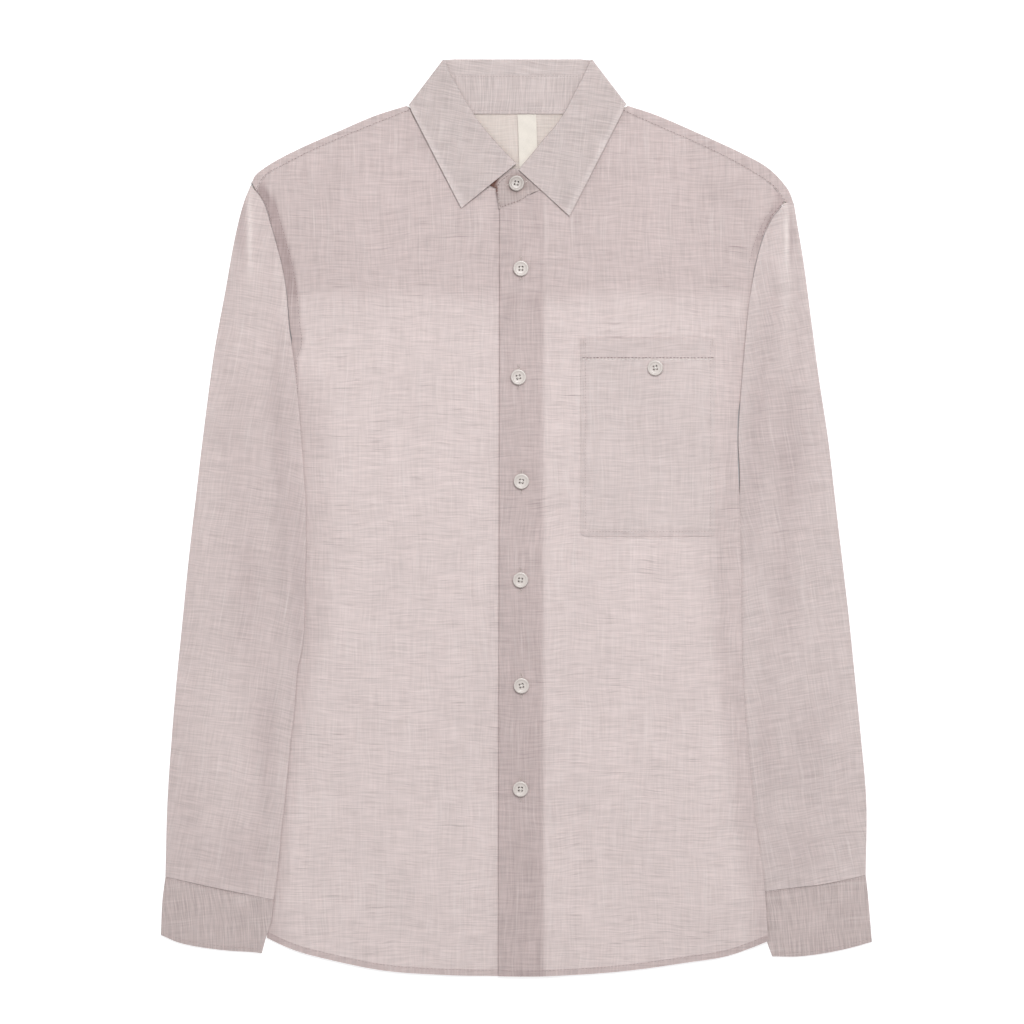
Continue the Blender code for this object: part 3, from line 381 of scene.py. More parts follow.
def along(points, fractions):
    """Points on the smooth line through some plan points, at fractions of its length."""
    points = np.asarray(points, float)
    steps = np.hypot(*np.diff(points, axis=0).T)
    knots = np.concatenate([[0], np.cumsum(steps)]) / steps.sum()
    return np.stack([smooth(knots, points[:, i], np.asarray(fractions)) for i in (0, 1)], axis=-1)


def flip(table):
    """An edge table, y first, as plan points."""
    return [(x, y) for y, x in table]


def coons(top, foot, out, inner, across, down):
    """Plan points inside four border lines, as rows by columns by 2. The lines share their corners."""
    u = np.asarray(across)[None, :, None]
    v = np.asarray(down)[:, None, None]
    a, c = along(top, across)[None], along(foot, across)[None]
    o, i = along(out, down)[:, None], along(inner, down)[:, None]
    corners = (1 - u) * (1 - v) * a[:, :1] + u * (1 - v) * a[:, -1:] + (1 - u) * v * c[:, :1] + u * v * c[:, -1:]
    return (1 - v) * a + v * c + (1 - u) * o + u * i - corners


def by_fold(fold, x, y):
    """How far along a fold a place is, from 0 to 1, and how far beside it."""
    run = np.array([fold.to_x - fold.x, fold.to_y - fold.y], float)
    length = np.hypot(*run)
    x, y = x - fold.x, y - fold.y
    return np.clip((x * run[0] + y * run[1]) / length**2, 0, 1), (x * run[1] - y * run[0]) / length


def folds(x, y):
    """Height that the soft folds add, with the small creases and the slight unevenness on them."""
    height = np.zeros(np.broadcast(x, y).shape)
    for f in FOLDS:
        t, off = by_fold(f, x, y)
        height = height + f.height * np.sin(np.pi * t) ** 0.7 * np.exp(-((off / f.half) ** 2))
    return height + (wave(x, y) + ridges(CREASES, x, y))


def climb_start(y):
    """x where the body's left side starts to climb onto the sleeve beside it."""
    return edge(SLEEVE_IN_LEFT, y) - CLIMB_CLEAR - CLIMB_RUN


def climb_body(x, y, from_y):
    """How far the body's left side lies up on the sleeve beside it, below a height."""
    return CLIMB * step((x - climb_start(y)) / CLIMB_RUN) * step((from_y - y) / CLIMB_SPREAD)


def climb_sleeve(x, y):
    """How far a sleeve's inner side lies up on the body beside it."""
    right = step((x - edge(BODY_RIGHT, y) + CLIMB_CLEAR + CLIMB_RUN) / CLIMB_RUN)
    right = right * step((ARMHOLE_RIGHT[-1][1] - y) / CLIMB_SPREAD)
    left = step((edge(BODY_LEFT, y) + CLIMB_CLEAR + CLIMB_RUN - x) / CLIMB_RUN)
    left = left * step((ARMHOLE_LEFT[-1][1] - y) / CLIMB_SPREAD) * step((y - OVERLAP_LEFT_Y) / CLIMB_SPREAD)
    return CLIMB * np.where(x < 0, right, left)


def wave(x, y):
    """Slight unevenness all over, from a few long waves of different lengths."""
    slow = np.sin(x / 31 + 1.7 * np.sin(y / 83)) * np.sin(y / 47 + 1.3 * np.sin(x / 71 + 0.6))
    fine = np.sin(x / 11.3 + 1.1 * np.sin(y / 19)) * np.sin(y / 13.7 + 0.9 * np.sin(x / 23 + 2.1))
    return 0.1 * slow + 0.03 * fine


def ridges(table, x, y):
    """Height that the creases of a table add: a ridge each, with a shallow groove on one side."""
    height = np.zeros(np.broadcast(x, y).shape)
    for f in table:
        t, off = by_fold(f, x, y)
        off = off / f.half + 0.25 * np.sin(t * 5 + f.x)
        height = height + f.height * np.sin(np.pi * t) * (np.exp(-(off**2)) - 0.4 * np.exp(-((off - 2) ** 2)))
    return height


def seam_line(rows, neck):
    """x and height along the upper edge of a front, closely spaced: its shoulder seam, then its neckline."""
    seam_x = np.linspace(rows[0].seam_x, rows[-1].seam_x, 60)
    neck_x = np.linspace(neck[0][0], neck[-1][0], 40)
    seam_y = edge([(s.seam_x, s.seam_y) for s in rows], seam_x)
    x, y = np.concatenate([seam_x, neck_x]), np.concatenate([seam_y, edge(neck, neck_x)])
    order = np.argsort(x)
    return x[order], y[order]


RIGHT_LINE = seam_line(SHOULDER_RIGHT, NECK_RIGHT)
LEFT_LINE = seam_line(SHOULDER_LEFT, NECK_LEFT)


def right_top(x):
    return np.interp(x, *RIGHT_LINE)


def left_top(x):
    return np.interp(x, *LEFT_LINE)


def rest_right(y):
    """x inside which the right front is free of the sleeve on it."""
    return edge(SLEEVE_IN_RIGHT, y) + CLIMB_CLEAR


def puff(x, y, top):
    """Loft of the fronts: none at seams and beside the sleeves, more inside, with the soft folds on it."""
    side = np.minimum(x - rest_right(y), climb_start(y) - x)
    inside = step(side / EDGE_RISE) * step((top - y) / (2 * EDGE_RISE))
    return inside * (BODY_LOFT + folds(x, y))


def right_front_z(x, y, top):
    """Middle surface of the right front: it lies low where the left front laps over it."""
    strip = step((FRONT_EDGE_TOP_X - 6 - x) / STRIP_FALL)
    return level(1) + puff(x, y, top) * strip


def left_front_z(x, y, top):
    """Middle surface of the left front: high on the lap, then down to the back."""
    fall = step((x - FACING_X) / STRIP_FALL)
    climb = climb_body(x + FRONT_AHEAD, y, UNDERLAP_LEFT_Y + CLIMB_RUN)
    return level(3) + (level(1) - level(3) + puff(x, y, top)) * fall + climb


def hem_y(x):
    return edge(HEM, x)


def across_right(share, y):
    """x of a column near the right side: share 1 to 2 where the loft starts, 3 at the side."""
    inner = rest_right(y)
    return piecewise(share, (inner + EDGE_RISE, inner, edge(BODY_RIGHT, y) + SEAM))


def across_left(share, y):
    """The same on the left: share 2 to 3 where the side climbs onto the sleeve, 4 at the side."""
    climb = climb_start(y)
    return piecewise(share, (climb - EDGE_RISE, climb, climb + CLIMB_RUN, edge(BODY_LEFT, y) - SEAM))


def piecewise(share, ends):
    """Straight steps between the ends, which are at the whole shares from 1 up."""
    i = min(int(share) - 1, len(ends) - 2)
    return ends[i] + (share - i - 1) * (ends[i + 1] - ends[i])


def fixed(x):
    return lambda y: x + 0 * y


def shared(across, share):
    return lambda y: across(share, y)


RIGHT_SIDE = (3.0, 2.6, 2.3, 2.0, 1.75, 1.5, 1.25, 1.0)
LEFT_SIDE = (1.0, 1.25, 1.5, 1.75, 2.0, 2.33, 2.67, 3.0, 3.5, 4.0)
RIGHT_INNER = (-120.0, -104.0, -90.0, -66.0, -42.0, -20.4, -10.4, 4.0, 23.0)
LEFT_INNER = (29.0, 35.0, 41.0, 47.0, 66.0, 90.0, 113.0)
BACK_INNER = (-120.0, -80.0, -40.0, 0.0, 40.0, 80.0, 113.0)


def meets(column, line):
    """Height at which a column of a panel meets the line of the panel's upper or lower edge."""
    low, high = LOWEST_Y, HIGHEST_Y
    while high - low > CLOSE_ENOUGH:
        middle = (low + high) / 2
        if line(column(np.array([middle])))[0] > middle:
            low = middle
        else:
            high = middle
    return middle


def ends_of(columns, *lines):
    """The heights at which each column meets each of these lines."""
    return [np.array([meets(column, line) for column in columns]) for line in lines]


def between(first, second, share):
    return lambda y: first(y) * (1 - share) + second(y) * share


def finer(columns):
    """The same columns with more in between, so that they are about one step apart."""
    made, y = [], np.zeros(1)
    for first, second in zip(columns, columns[1:]):
        count = max(1, int(np.ceil(abs(second(y)[0] - first(y)[0]) / STEP_MM)))
        made += [between(first, second, i / count) for i in range(count)]
    return made + [columns[-1]]


def srgb(*levels):
    """A colour given in the 0 to 255 levels of a picture, as linear values."""
    v = np.array(levels, float) / 255
    v = np.where(v <= 0.04045, v / 12.92, ((v + 0.055) / 1.055) ** 2.4)
    return (*v, 1.0)


class Nodes:
    """Short calls for building a material's node tree."""

    def __init__(self, name):
        self.made = bpy.data.materials.new(name)
        self.made.use_nodes = True
        self.tree = self.made.node_tree
        self.shader = self.tree.nodes["Principled BSDF"]

    def node(self, kind, **values):
        node = self.tree.nodes.new(kind)
        for key, value in values.items():
            setattr(node, key, value)
        return node

    def link(self, source, target):
        self.tree.links.new(source, target)

    def feed(self, socket, value):
        if isinstance(value, bpy.types.NodeSocket):
            self.link(value, socket)
        else:
            socket.default_value = value

    def math(self, operation, a, b=0.0, c=0.0):
        node = self.node("ShaderNodeMath", operation=operation)
        for socket, value in zip(node.inputs, (a, b, c)):
            self.feed(socket, value)
        return node.outputs[0]

    def vector(self, operation, a, b=(0, 0, 0)):
        node = self.node("ShaderNodeVectorMath", operation=operation)
        self.feed(node.inputs[0], a)
        self.feed(node.inputs[1], b)
        return node.outputs[0]

    def mapping(self, vector, scale=(1, 1, 1), angle=0.0, move=(0, 0, 0)):
        node = self.node("ShaderNodeMapping")
        self.feed(node.inputs["Vector"], vector)
        node.inputs["Scale"].default_value = scale
        node.inputs["Rotation"].default_value = (0, 0, angle)
        node.inputs["Location"].default_value = move
        return node.outputs[0]

    def noise(self, vector, scale=1.0, detail=0.0, colour=False):
        node = self.node("ShaderNodeTexNoise")
        self.feed(node.inputs["Vector"], vector)
        node.inputs["Scale"].default_value = scale
        node.inputs["Detail"].default_value = detail
        return node.outputs["Color" if colour else "Fac"]

    def span(self, value, low, high, to_low=0.0, to_high=1.0, smooth_ends=False):
        node = self.node("ShaderNodeMapRange")
        if smooth_ends:
            node.interpolation_type = "SMOOTHSTEP"
        self.feed(node.inputs["Value"], value)
        for key, number in zip(("From Min", "From Max", "To Min", "To Max"), (low, high, to_low, to_high)):
            node.inputs[key].default_value = number
        return node.outputs[0]

    def mix(self, share, a, b, blend="MIX"):
        node = self.node("ShaderNodeMix", data_type="RGBA", blend_type=blend)
        self.feed(node.inputs[0], share)
        self.feed(node.inputs[6], a)
        self.feed(node.inputs[7], b)
        return node.outputs[2]

    def shaded(self, colour, shade):
        """A colour times a grey level."""
        grey = self.node("ShaderNodeCombineColor")
        for socket in grey.inputs:
            self.link(shade, socket)
        return self.mix(1.0, colour, grey.outputs[0], "MULTIPLY")

    def finish(self, colour, constants):
        """Links the colour, and sets the shader's own sockets."""
        self.link(colour, self.shader.inputs["Base Color"])
        for key, value in constants.items():
            self.shader.inputs[key].default_value = value
        return self.made


LINEN_SHADER = {
    "Roughness": 0.88, "Specular IOR Level": 0.25, "Sheen Weight": 0.08, "Sheen Roughness": 0.5,
    "Subsurface Weight": 0.12, "Subsurface Radius": (1.0, 0.78, 0.72), "Subsurface Scale": 0.0015,
}


def linen(name, light, dark, weft=0.0, coarse=1.0, slubs=1.0, warp_slubs=0.18, along=1.0, up=1.0, layered=0.6,
          bands=1.0):
    """Semi-sheer slub linen. The tone attribute goes from 0, one layer, to 1, two layers with a darker look, and
    carries painted shade too.

    along and up say how clear the weft and the warp are, bands how clear their broader bands, and layered how
    much clearer the warp is in two layers.
    """
    n = Nodes(name)
    place = n.node("ShaderNodeTexCoord").outputs["Object"]
    flat = n.mapping(place, scale=(1, 1, 0.2), angle=weft)
    bent = flat
    for scale, detail, reach in ((9, 1.5, (0.012, 0.016, 0)), (45, 1.0, (0.002, 0.0028, 0))):
        off = n.vector("SUBTRACT", n.noise(flat, scale, detail, colour=True), (0.5, 0.5, 0.5))
        bent = n.vector("ADD", bent, n.vector("MULTIPLY", off, reach))

    def streaks(scale, move=(0, 0, 0), detail=0.0):
        """Noise drawn out along the threads, which wander a little."""
        return n.noise(n.mapping(bent, scale, move=move), 1, detail)

    weft_thread = streaks((45, 820 / coarse, 20), detail=1.0)
    warp_thread = streaks((760 / coarse, 42, 20), (3, 7, 0), 1.0)
    weft_band = streaks((14, 230, 10), (5, 1, 0), 2.0)
    warp_band = streaks((210, 9, 10), (2, 9, 0), 2.0)
    cloud = n.noise(flat, 13, 3.0)
    patch = n.noise(n.mapping(flat, move=(4, 4, 0)), 24, 2.0)
    slub = n.span(streaks((30, 900, 20), (11, 2, 0)), 0.69, 0.82, smooth_ends=True)
    slub = n.math("MULTIPLY", slub, n.span(patch, 0.42, 0.62, 0.15, 1.0))
    fine_slub = n.span(streaks((70, 1300, 20), (1, 12, 0)), 0.66, 0.76, smooth_ends=True)
    pale = n.span(streaks((780, 14, 20), (8, 8, 0)), 0.62, 0.8, smooth_ends=True)
    tone = n.node("ShaderNodeAttribute", attribute_name="tone").outputs["Fac"]
    colour = n.mix(tone, light, dark)
    colour.node.clamp_factor = False
    wefts = n.math("ADD", n.span(weft_thread, 0.32, 0.68, -0.078 * along, 0.068 * along),
                   n.span(weft_band, 0.3, 0.7, -0.028 * bands, 0.026 * bands))
    warps = n.math("ADD", n.span(warp_thread, 0.32, 0.68, -0.04 * up, 0.04 * up),
                   n.span(warp_band, 0.3, 0.7, -0.02 * bands, 0.022 * bands))
    warps = n.math("MULTIPLY", warps, n.math("ADD", n.math("MULTIPLY", tone, layered), 1.0))
    shade = n.math("ADD", n.math("ADD", wefts, warps), n.span(cloud, 0.3, 0.7, 0.97, 1.026))
    colour = n.shaded(colour, shade)
    colour = n.mix(n.math("MULTIPLY", slub, 0.4 * slubs), colour, srgb(118, 102, 106))
    colour = n.mix(n.math("MULTIPLY", fine_slub, 0.2 * slubs), colour, srgb(138, 120, 122))
    colour = n.mix(n.math("MULTIPLY", pale, warp_slubs), colour, srgb(222, 213, 210))
    height = n.math("ADD", n.math("ADD", weft_thread, warp_thread), n.math("MULTIPLY", slub, 0.8))
    bump = n.node("ShaderNodeBump")
    bump.inputs["Strength"].default_value = 0.22
    bump.inputs["Distance"].default_value = 0.0004
    n.link(height, bump.inputs["Height"])
    n.link(bump.outputs[0], n.shader.inputs["Normal"])
    return n.finish(colour, LINEN_SHADER)


def plain(name, colour, rough, grain=500.0, depth=0.03, specular=0.4, sheen=0.0):
    """A small-grained finish, for thread, label and buttons."""
    n = Nodes(name)
    place = n.node("ShaderNodeTexCoord").outputs["Object"]
    grains = n.noise(place, grain, 2.0)
    clouds = n.noise(place, grain / 8, 1.0)
    shade = n.math("ADD", n.span(grains, 0.3, 0.7, -depth, depth), n.span(clouds, 0.3, 0.7, 1 - depth, 1 + depth))
    return n.finish(n.shaded(colour, shade),
                    {"Roughness": rough, "Specular IOR Level": specular, "Sheen Weight": sheen})


# Boxes of the floor that the shirt covers, in metres: half width, middle y, half height.
COVERED = ((0.205, -0.035, 0.305), (0.2255, 0.165, 0.12))


def white_ground(name, glow):
    """A floor that glows a little, so that it is as free of shadows as the photo's, but not under the shirt."""
    n = Nodes(name)
    place = n.node("ShaderNodeTexCoord").outputs["Object"]
    at = n.node("ShaderNodeSeparateXYZ")
    n.link(place, at.inputs[0])
    covered = 0.0
    for half_width, middle, half_height in COVERED:
        in_width = n.math("LESS_THAN", n.math("ABSOLUTE", at.outputs[0]), half_width)
        off_middle = n.math("ABSOLUTE", n.math("SUBTRACT", at.outputs[1], middle))
        in_height = n.math("LESS_THAN", off_middle, half_height)
        covered = n.math("MAXIMUM", covered, n.math("MULTIPLY", in_width, in_height))
    n.link(n.math("MULTIPLY", n.math("SUBTRACT", 1.0, covered), glow), n.shader.inputs["Emission Strength"])
    colour = n.mix(n.noise(place, 40, 2.0), srgb(198, 197, 198), srgb(194, 193, 194))
    return n.finish(colour, {"Roughness": 0.9, "Emission Color": (1, 1, 1, 1)})


FLOOR_WHITE = white_ground("floor_white", 0.62)
BODY_CLOTH = linen("linen_body", srgb(206, 192, 190), srgb(166, 149, 148), layered=1.2)
SLEEVE_RIGHT_CLOTH = linen("linen_sleeve_right", srgb(200, 186, 184), srgb(164, 147, 147), weft=0.16, coarse=0.9,
                           slubs=0.7, up=1.2, bands=1.1)
SLEEVE_LEFT_CLOTH = linen("linen_sleeve_left", srgb(201, 188, 186), srgb(164, 147, 147), weft=-0.16, coarse=0.9,
                          slubs=0.7, along=1.1, up=1.2, bands=1.1)
CUFF_CLOTH = linen("linen_cuff", srgb(186, 172, 170), srgb(158, 142, 141), weft=np.pi / 2 - 0.1, coarse=0.85,
                   slubs=0.5, along=1.8, up=1.2, bands=0.8)
COLLAR_CLOTH = linen("linen_collar", srgb(190, 178, 176), srgb(164, 150, 148), weft=0.12, coarse=0.85,
                     slubs=0.6, along=1.4, up=1.3)
STAND_CLOTH = linen("linen_stand", srgb(191, 179, 177), srgb(162, 146, 143), weft=np.pi / 2, slubs=0.5, along=1.5,
                    up=1.2)
INSIDE_CLOTH = linen("linen_inside", srgb(203, 193, 187), srgb(176, 162, 156), slubs=0.25)
POCKET_CLOTH = linen("linen_pocket", srgb(203, 190, 188), srgb(168, 151, 150), slubs=0.6)
LABEL_TAPE = plain("label_tape", srgb(216, 209, 200), 0.7, grain=1200, sheen=0.1)
THREAD = plain("thread", srgb(160, 143, 142), 0.8, grain=900)
THREAD_PALE = plain("thread_pale", srgb(206, 194, 190), 0.8, grain=900)
THREAD_DARK = plain("thread_dark", srgb(118, 100, 100), 0.85, grain=900)
THREAD_WHITE = plain("thread_white", srgb(226, 221, 216), 0.7, grain=900)
SHELL_BUTTON = plain("shell_button", srgb(201, 193, 188), 0.28, grain=160, depth=0.02, specular=0.55)
# A darker copy of the button finish: painted shade for the neck button under the collar.
NECK_BUTTON_PAINTED_SHADE = plain("shell_button_shaded", srgb(180, 172, 167), 0.28, grain=160, depth=0.04, specular=0.5)


def object_of(name, verts, faces, material, tone=None):
    mesh = bpy.data.meshes.new(name)
    mesh.from_pydata([tuple(v) for v in np.asarray(verts) * MM], [], [tuple(f) for f in faces])
    mesh.update()
    if tone is not None:
        mesh.attributes.new("tone", "FLOAT", "POINT").data.foreach_set("value", np.asarray(tone, np.float32))
    piece = bpy.data.objects.new(name, mesh)
    bpy.context.scene.collection.objects.link(piece)
    mesh.materials.append(material)
    mesh.shade_smooth()
    return piece


def cloth(name, grid, tone, material, ring=False, thick=SHELL, inside=None):
    """A cloth shell from its middle surface, rows by columns of points, NaN where there is none.

    With an inside material, the last row is part of the back, whose upper side is the inside.
    """
    rows, columns = grid.shape[:2]
    real = np.isfinite(grid).all(axis=-1)
    index = np.full(real.shape, -1)
    index[real] = np.arange(real.sum())
    across = np.arange(columns) if ring else np.arange(columns - 1)
    r, c = np.meshgrid(np.arange(rows - 1), across, indexing="ij")
    d = (c + 1) % columns
    faces = np.stack([index[r, c], index[r + 1, c], index[r + 1, d], index[r, d]], axis=-1).reshape(-1, 4)
    faces = faces[(faces >= 0).all(axis=1)]
    tones = np.broadcast_to(tone, real.shape)[real]
    piece = object_of(name + "_shell", grid[real], faces, material, tones)
    made = bmesh.new()
    made.from_mesh(piece.data)
    bmesh.ops.recalc_face_normals(made, faces=made.faces)
    made.faces.ensure_lookup_table()
    if inside and made.faces[-1].normal.z > 0:
        bmesh.ops.reverse_faces(made, faces=made.faces)
    made.to_mesh(piece.data)
    made.free()
    wall = piece.modifiers.new("wall", "SOLIDIFY")
    if inside:
        piece.data.materials.append(inside)
        wall.material_offset = 1
    wall.thickness = thick * MM
    wall.offset = 0
    wall.use_quality_normals = True
    made = baked(piece, 0.9)
    piece.modifiers.clear()
    piece.data = made
    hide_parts(name)
    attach(piece, "root")
    return piece


def baked(piece, angle):
    """A piece's mesh with its modifiers applied, smooth but for edges that turn by more than an angle."""
    bpy.context.view_layer.update()
    made = bpy.data.meshes.new_from_object(piece.evaluated_get(bpy.context.evaluated_depsgraph_get()))
    made.shade_smooth()
    made.set_sharp_from_angle(angle=angle)
    return made


def near(distance, width):
    """1 at an edge, falling to 0 at a width from it."""
    return 1 - step(distance / width)


def panel(columns, top, foot):
    """Plan points of a body panel from each column's x at a height, with close rows along the hem."""
    down = np.linspace(0, 1, int((top.max() - foot.min()) / STEP_MM))[:, None]
    upper = top[None, :] * (1 - down) + (foot[None, :] + HEM_ROWS[0]) * down
    y = np.concatenate([upper, foot[None, :] + np.array(HEM_ROWS[1:])[:, None]])
    return np.stack([column(y[:, i]) for i, column in enumerate(columns)], axis=1), y


def hem_ridge(y, foot):
    return HEM_RIDGE * step((HEM_BAND + 0.4 - (y - foot[None, :])) / 0.7)


def hem_tone(y, foot):
    return HEM_TONE * step((HEM_BAND + 0.3 - (y - foot[None, :])) / 0.8)


def under_yoke(x, y):
    """The yoke's back shows through the front as a darker tone down to its seam, and a weaker darkening reaches
    some 50 mm below the seam.
    """
    near_seam = step((y - YOKE_BACK_Y + 9 + 3 * np.sin(x / 19) * np.sin(x / 43)) / 18)
    return YOKE_TONE * near_seam + YOKE_SPREAD_TONE * step((y - YOKE_BACK_Y + 50) / 70)


def painted_shade_beside(inside, y, top):
    """A soft shade painted next to a sleeve, below a height and narrower towards the hem."""
    return BESIDE_SLEEVE_PAINTED_SHADE * near(inside, 14 + 24 * step((y + 260) / 300)) * step((top - y) / 60)


def beside_right(x, y):
    """Seam allowance and a painted soft shade along the right armhole and under the sleeve."""
    inside = x - edge(SLEEVE_IN_RIGHT, np.clip(y, -330, 182))
    hole = x - edge(BODY_RIGHT, y)
    allowance = near(hole - 7.5, 5) * step((y - 96) / 40) * step((290 - y) / 10)
    return ALLOWANCE_RIGHT_TONE * allowance + painted_shade_beside(inside, y, 150)


def beside_left(x, y):
    """The same on the left."""
    hole = edge(BODY_LEFT, y) - x
    allowance = near(hole - 4, 4) * step((y - 210) / 30) * step((290 - y) / 10)
    inside = edge(SLEEVE_IN_LEFT, np.clip(y, -318, 236)) - x
    return ALLOWANCE_LEFT_TONE * allowance + painted_shade_beside(inside, y, 200)


def lap_tone(y):
    """The lap's two layers look darker than one, and more so towards the hem."""
    return (LAP_TONE + LAP_FOOT_TONE * step((120 - y) / 400)) * (1 - LAP_FADE_ON_YOKE * step((y - 184) / 12))


def front_right():
    columns = finer([shared(across_right, share) for share in RIGHT_SIDE] + [fixed(x) for x in RIGHT_INNER])
    top, foot = ends_of(columns, right_top, hem_y)
    x, y = panel(columns, top, foot)
    z = right_front_z(x, y, top[None, :]) + hem_ridge(y, foot)
    tone = hem_tone(y, foot) + under_yoke(x, y) + beside_right(x, y)
    return cloth("front_right", np.stack([x, y, z], axis=-1), tone, BODY_CLOTH)


def front_left():
    """The left front: its facing folded under at the front edge, then the panel as far as the side."""
    bend = LEVEL / 2
    turn = HALF_TURN[::-1]
    fold_x = FRONT_EDGE_TOP_X + bend + WALL / 2 - bend * np.cos(turn)
    fold_z = (level(2) + level(3)) / 2 + bend * np.sin(turn)
    facing = finer([fixed(x) for x in (FACING_X - 0.8, 4.0, fold_x[0])])[:-1]
    lap = [fixed(x) for x in (fold_x[-1], 4.0, FACING_X - 0.3, FACING_X + 0.3, *LEFT_INNER)]
    lap = finer(lap + [shared(across_left, share) for share in LEFT_SIDE])[1:]
    columns = facing + [fixed(x) for x in fold_x] + lap
    top, foot = ends_of(columns, left_top, hem_y)
    x, y = panel(columns, top, foot)
    z = left_front_z(x, y, top[None, :])
    start, end = len(facing), len(facing) + len(fold_x)
    z[:, :start] = level(2)
    z[:, start:end] = fold_z
    z = z + hem_ridge(y, foot) * (np.arange(len(columns)) >= end)
    on_lap = step((FACING_X + 1.2 - x) / 2.4)
    tone = hem_tone(y, foot) * (1 - HEM_FADE_ON_LAP * on_lap) + under_yoke(x, y)
    tone = tone + beside_left(x, y) + lap_tone(y) * on_lap
    lean = (FRONT_EDGE_HEM_X - FRONT_EDGE_TOP_X) * (top[None, :] - y) / (top - foot)[None, :]
    x = x + lean * np.clip((FACING_X - x) / (FACING_X - 4), 0, 1)
    return cloth("front_left", np.stack([x, y, z], axis=-1), tone, BODY_CLOTH)


def back():
    """The back panel under the yoke, flat on the table but for the side that lies on the left sleeve."""
    columns = [shared(across_right, share) for share in (3.0, 2.0, 1.0)] + [fixed(x) for x in BACK_INNER]
    columns = finer(columns + [shared(across_left, share) for share in LEFT_SIDE])
    foot = ends_of(columns, hem_y)[0] + BACK_HEM_RISE
    x, y = panel(columns, np.full(len(columns), YOKE_BACK_Y - SEAM), foot)
    z = level(0) + climb_body(x, y, UNDERLAP_LEFT_Y)
    return cloth("back", np.stack([x, y, z], axis=-1), hem_tone(y, foot), BODY_CLOTH)


def shoulder_rows(table, top):
    """The shoulder's rows with more in between, the seam on the fronts' upper edge."""
    index = np.linspace(0, len(table) - 1, 55)
    x, y, seam_x = (smooth(range(len(table)), [row[i] for row in table], index) for i in (0, 1, 2))
    return [Shoulder(*row) for row in zip(x, y, seam_x, top(seam_x))]


def shoulder_columns(rows):
    """For each shoulder row: the strip on the front, and the turn over the shoulder down to the back's layer."""
    bend = LEVEL / 2
    outline = np.array([(s.x, s.y) for s in rows])
    tangent = np.gradient(outline, axis=0)
    outward = unit(np.stack([-tangent[:, 1], tangent[:, 0]], axis=1))
    for s, point, out in zip(rows, outline, outward):
        axis = point - out * (bend + WALL / 2)
        start = np.array([s.seam_x, s.seam_y + SEAM])
        column = [(*(start + (axis - start) * share), level(1) + 0.25 * np.sin(np.pi * share)) for share in
                  np.linspace(0, 1, STRIP_STEPS + 1)[:-1]]
        for turn in HALF_TURN:
            plan = axis + out * bend * np.cos(turn)
            column.append((*plan, (level(0) + level(1)) / 2 + bend * np.sin(turn)))
        yield column


def yoke():
    """The yoke: a back panel that folds over at the shoulders and ends in a strip on each front."""
    down = np.concatenate([[0.006, 0.012], np.linspace(0.03, 1, 42)])
    before = STRIP_STEPS + len(HALF_TURN) - 1
    blank = [(np.nan,) * 3] * before
    neck_x = np.linspace(YOKE_NECK[1][0], YOKE_NECK[-2][0], 56)
    columns = list(shoulder_columns(shoulder_rows(SHOULDER_RIGHT, right_top)))
    columns += [blank + [(x, y, level(0))] for x, y in zip(neck_x, edge(YOKE_NECK, neck_x))]
    columns += list(shoulder_columns(shoulder_rows(SHOULDER_LEFT, left_top)[::-1]))
    tips = {-1: (BODY_RIGHT, abs(columns[0][-1][0])), 1: (BODY_LEFT, abs(columns[-1][-1][0]))}
    for column in columns:
        x_top, y_top = column[-1][:2]
        table, tip = tips[-1 if x_top < 0 else 1]
        y = y_top + (YOKE_BACK_Y + SEAM - y_top) * down
        side = np.minimum(abs(edge(table, y)) - SEAM, tip)
        column += [(x_top / tip * reach, height, level(0)) for reach, height in zip(side, y)]
    grid = np.array(columns).transpose(1, 0, 2)
    tone = np.full(grid.shape[:2], STRIP_TONE)
    tone[before:] = 0.0
    return cloth("yoke", grid, tone, BODY_CLOTH, inside=INSIDE_CLOTH)


def spans(*parts):
    """Shares in even steps within each part: from, to and count, the parts joined end to end."""
    return np.concatenate([np.linspace(*parts[0])] + [np.linspace(*part)[1:] for part in parts[1:]])


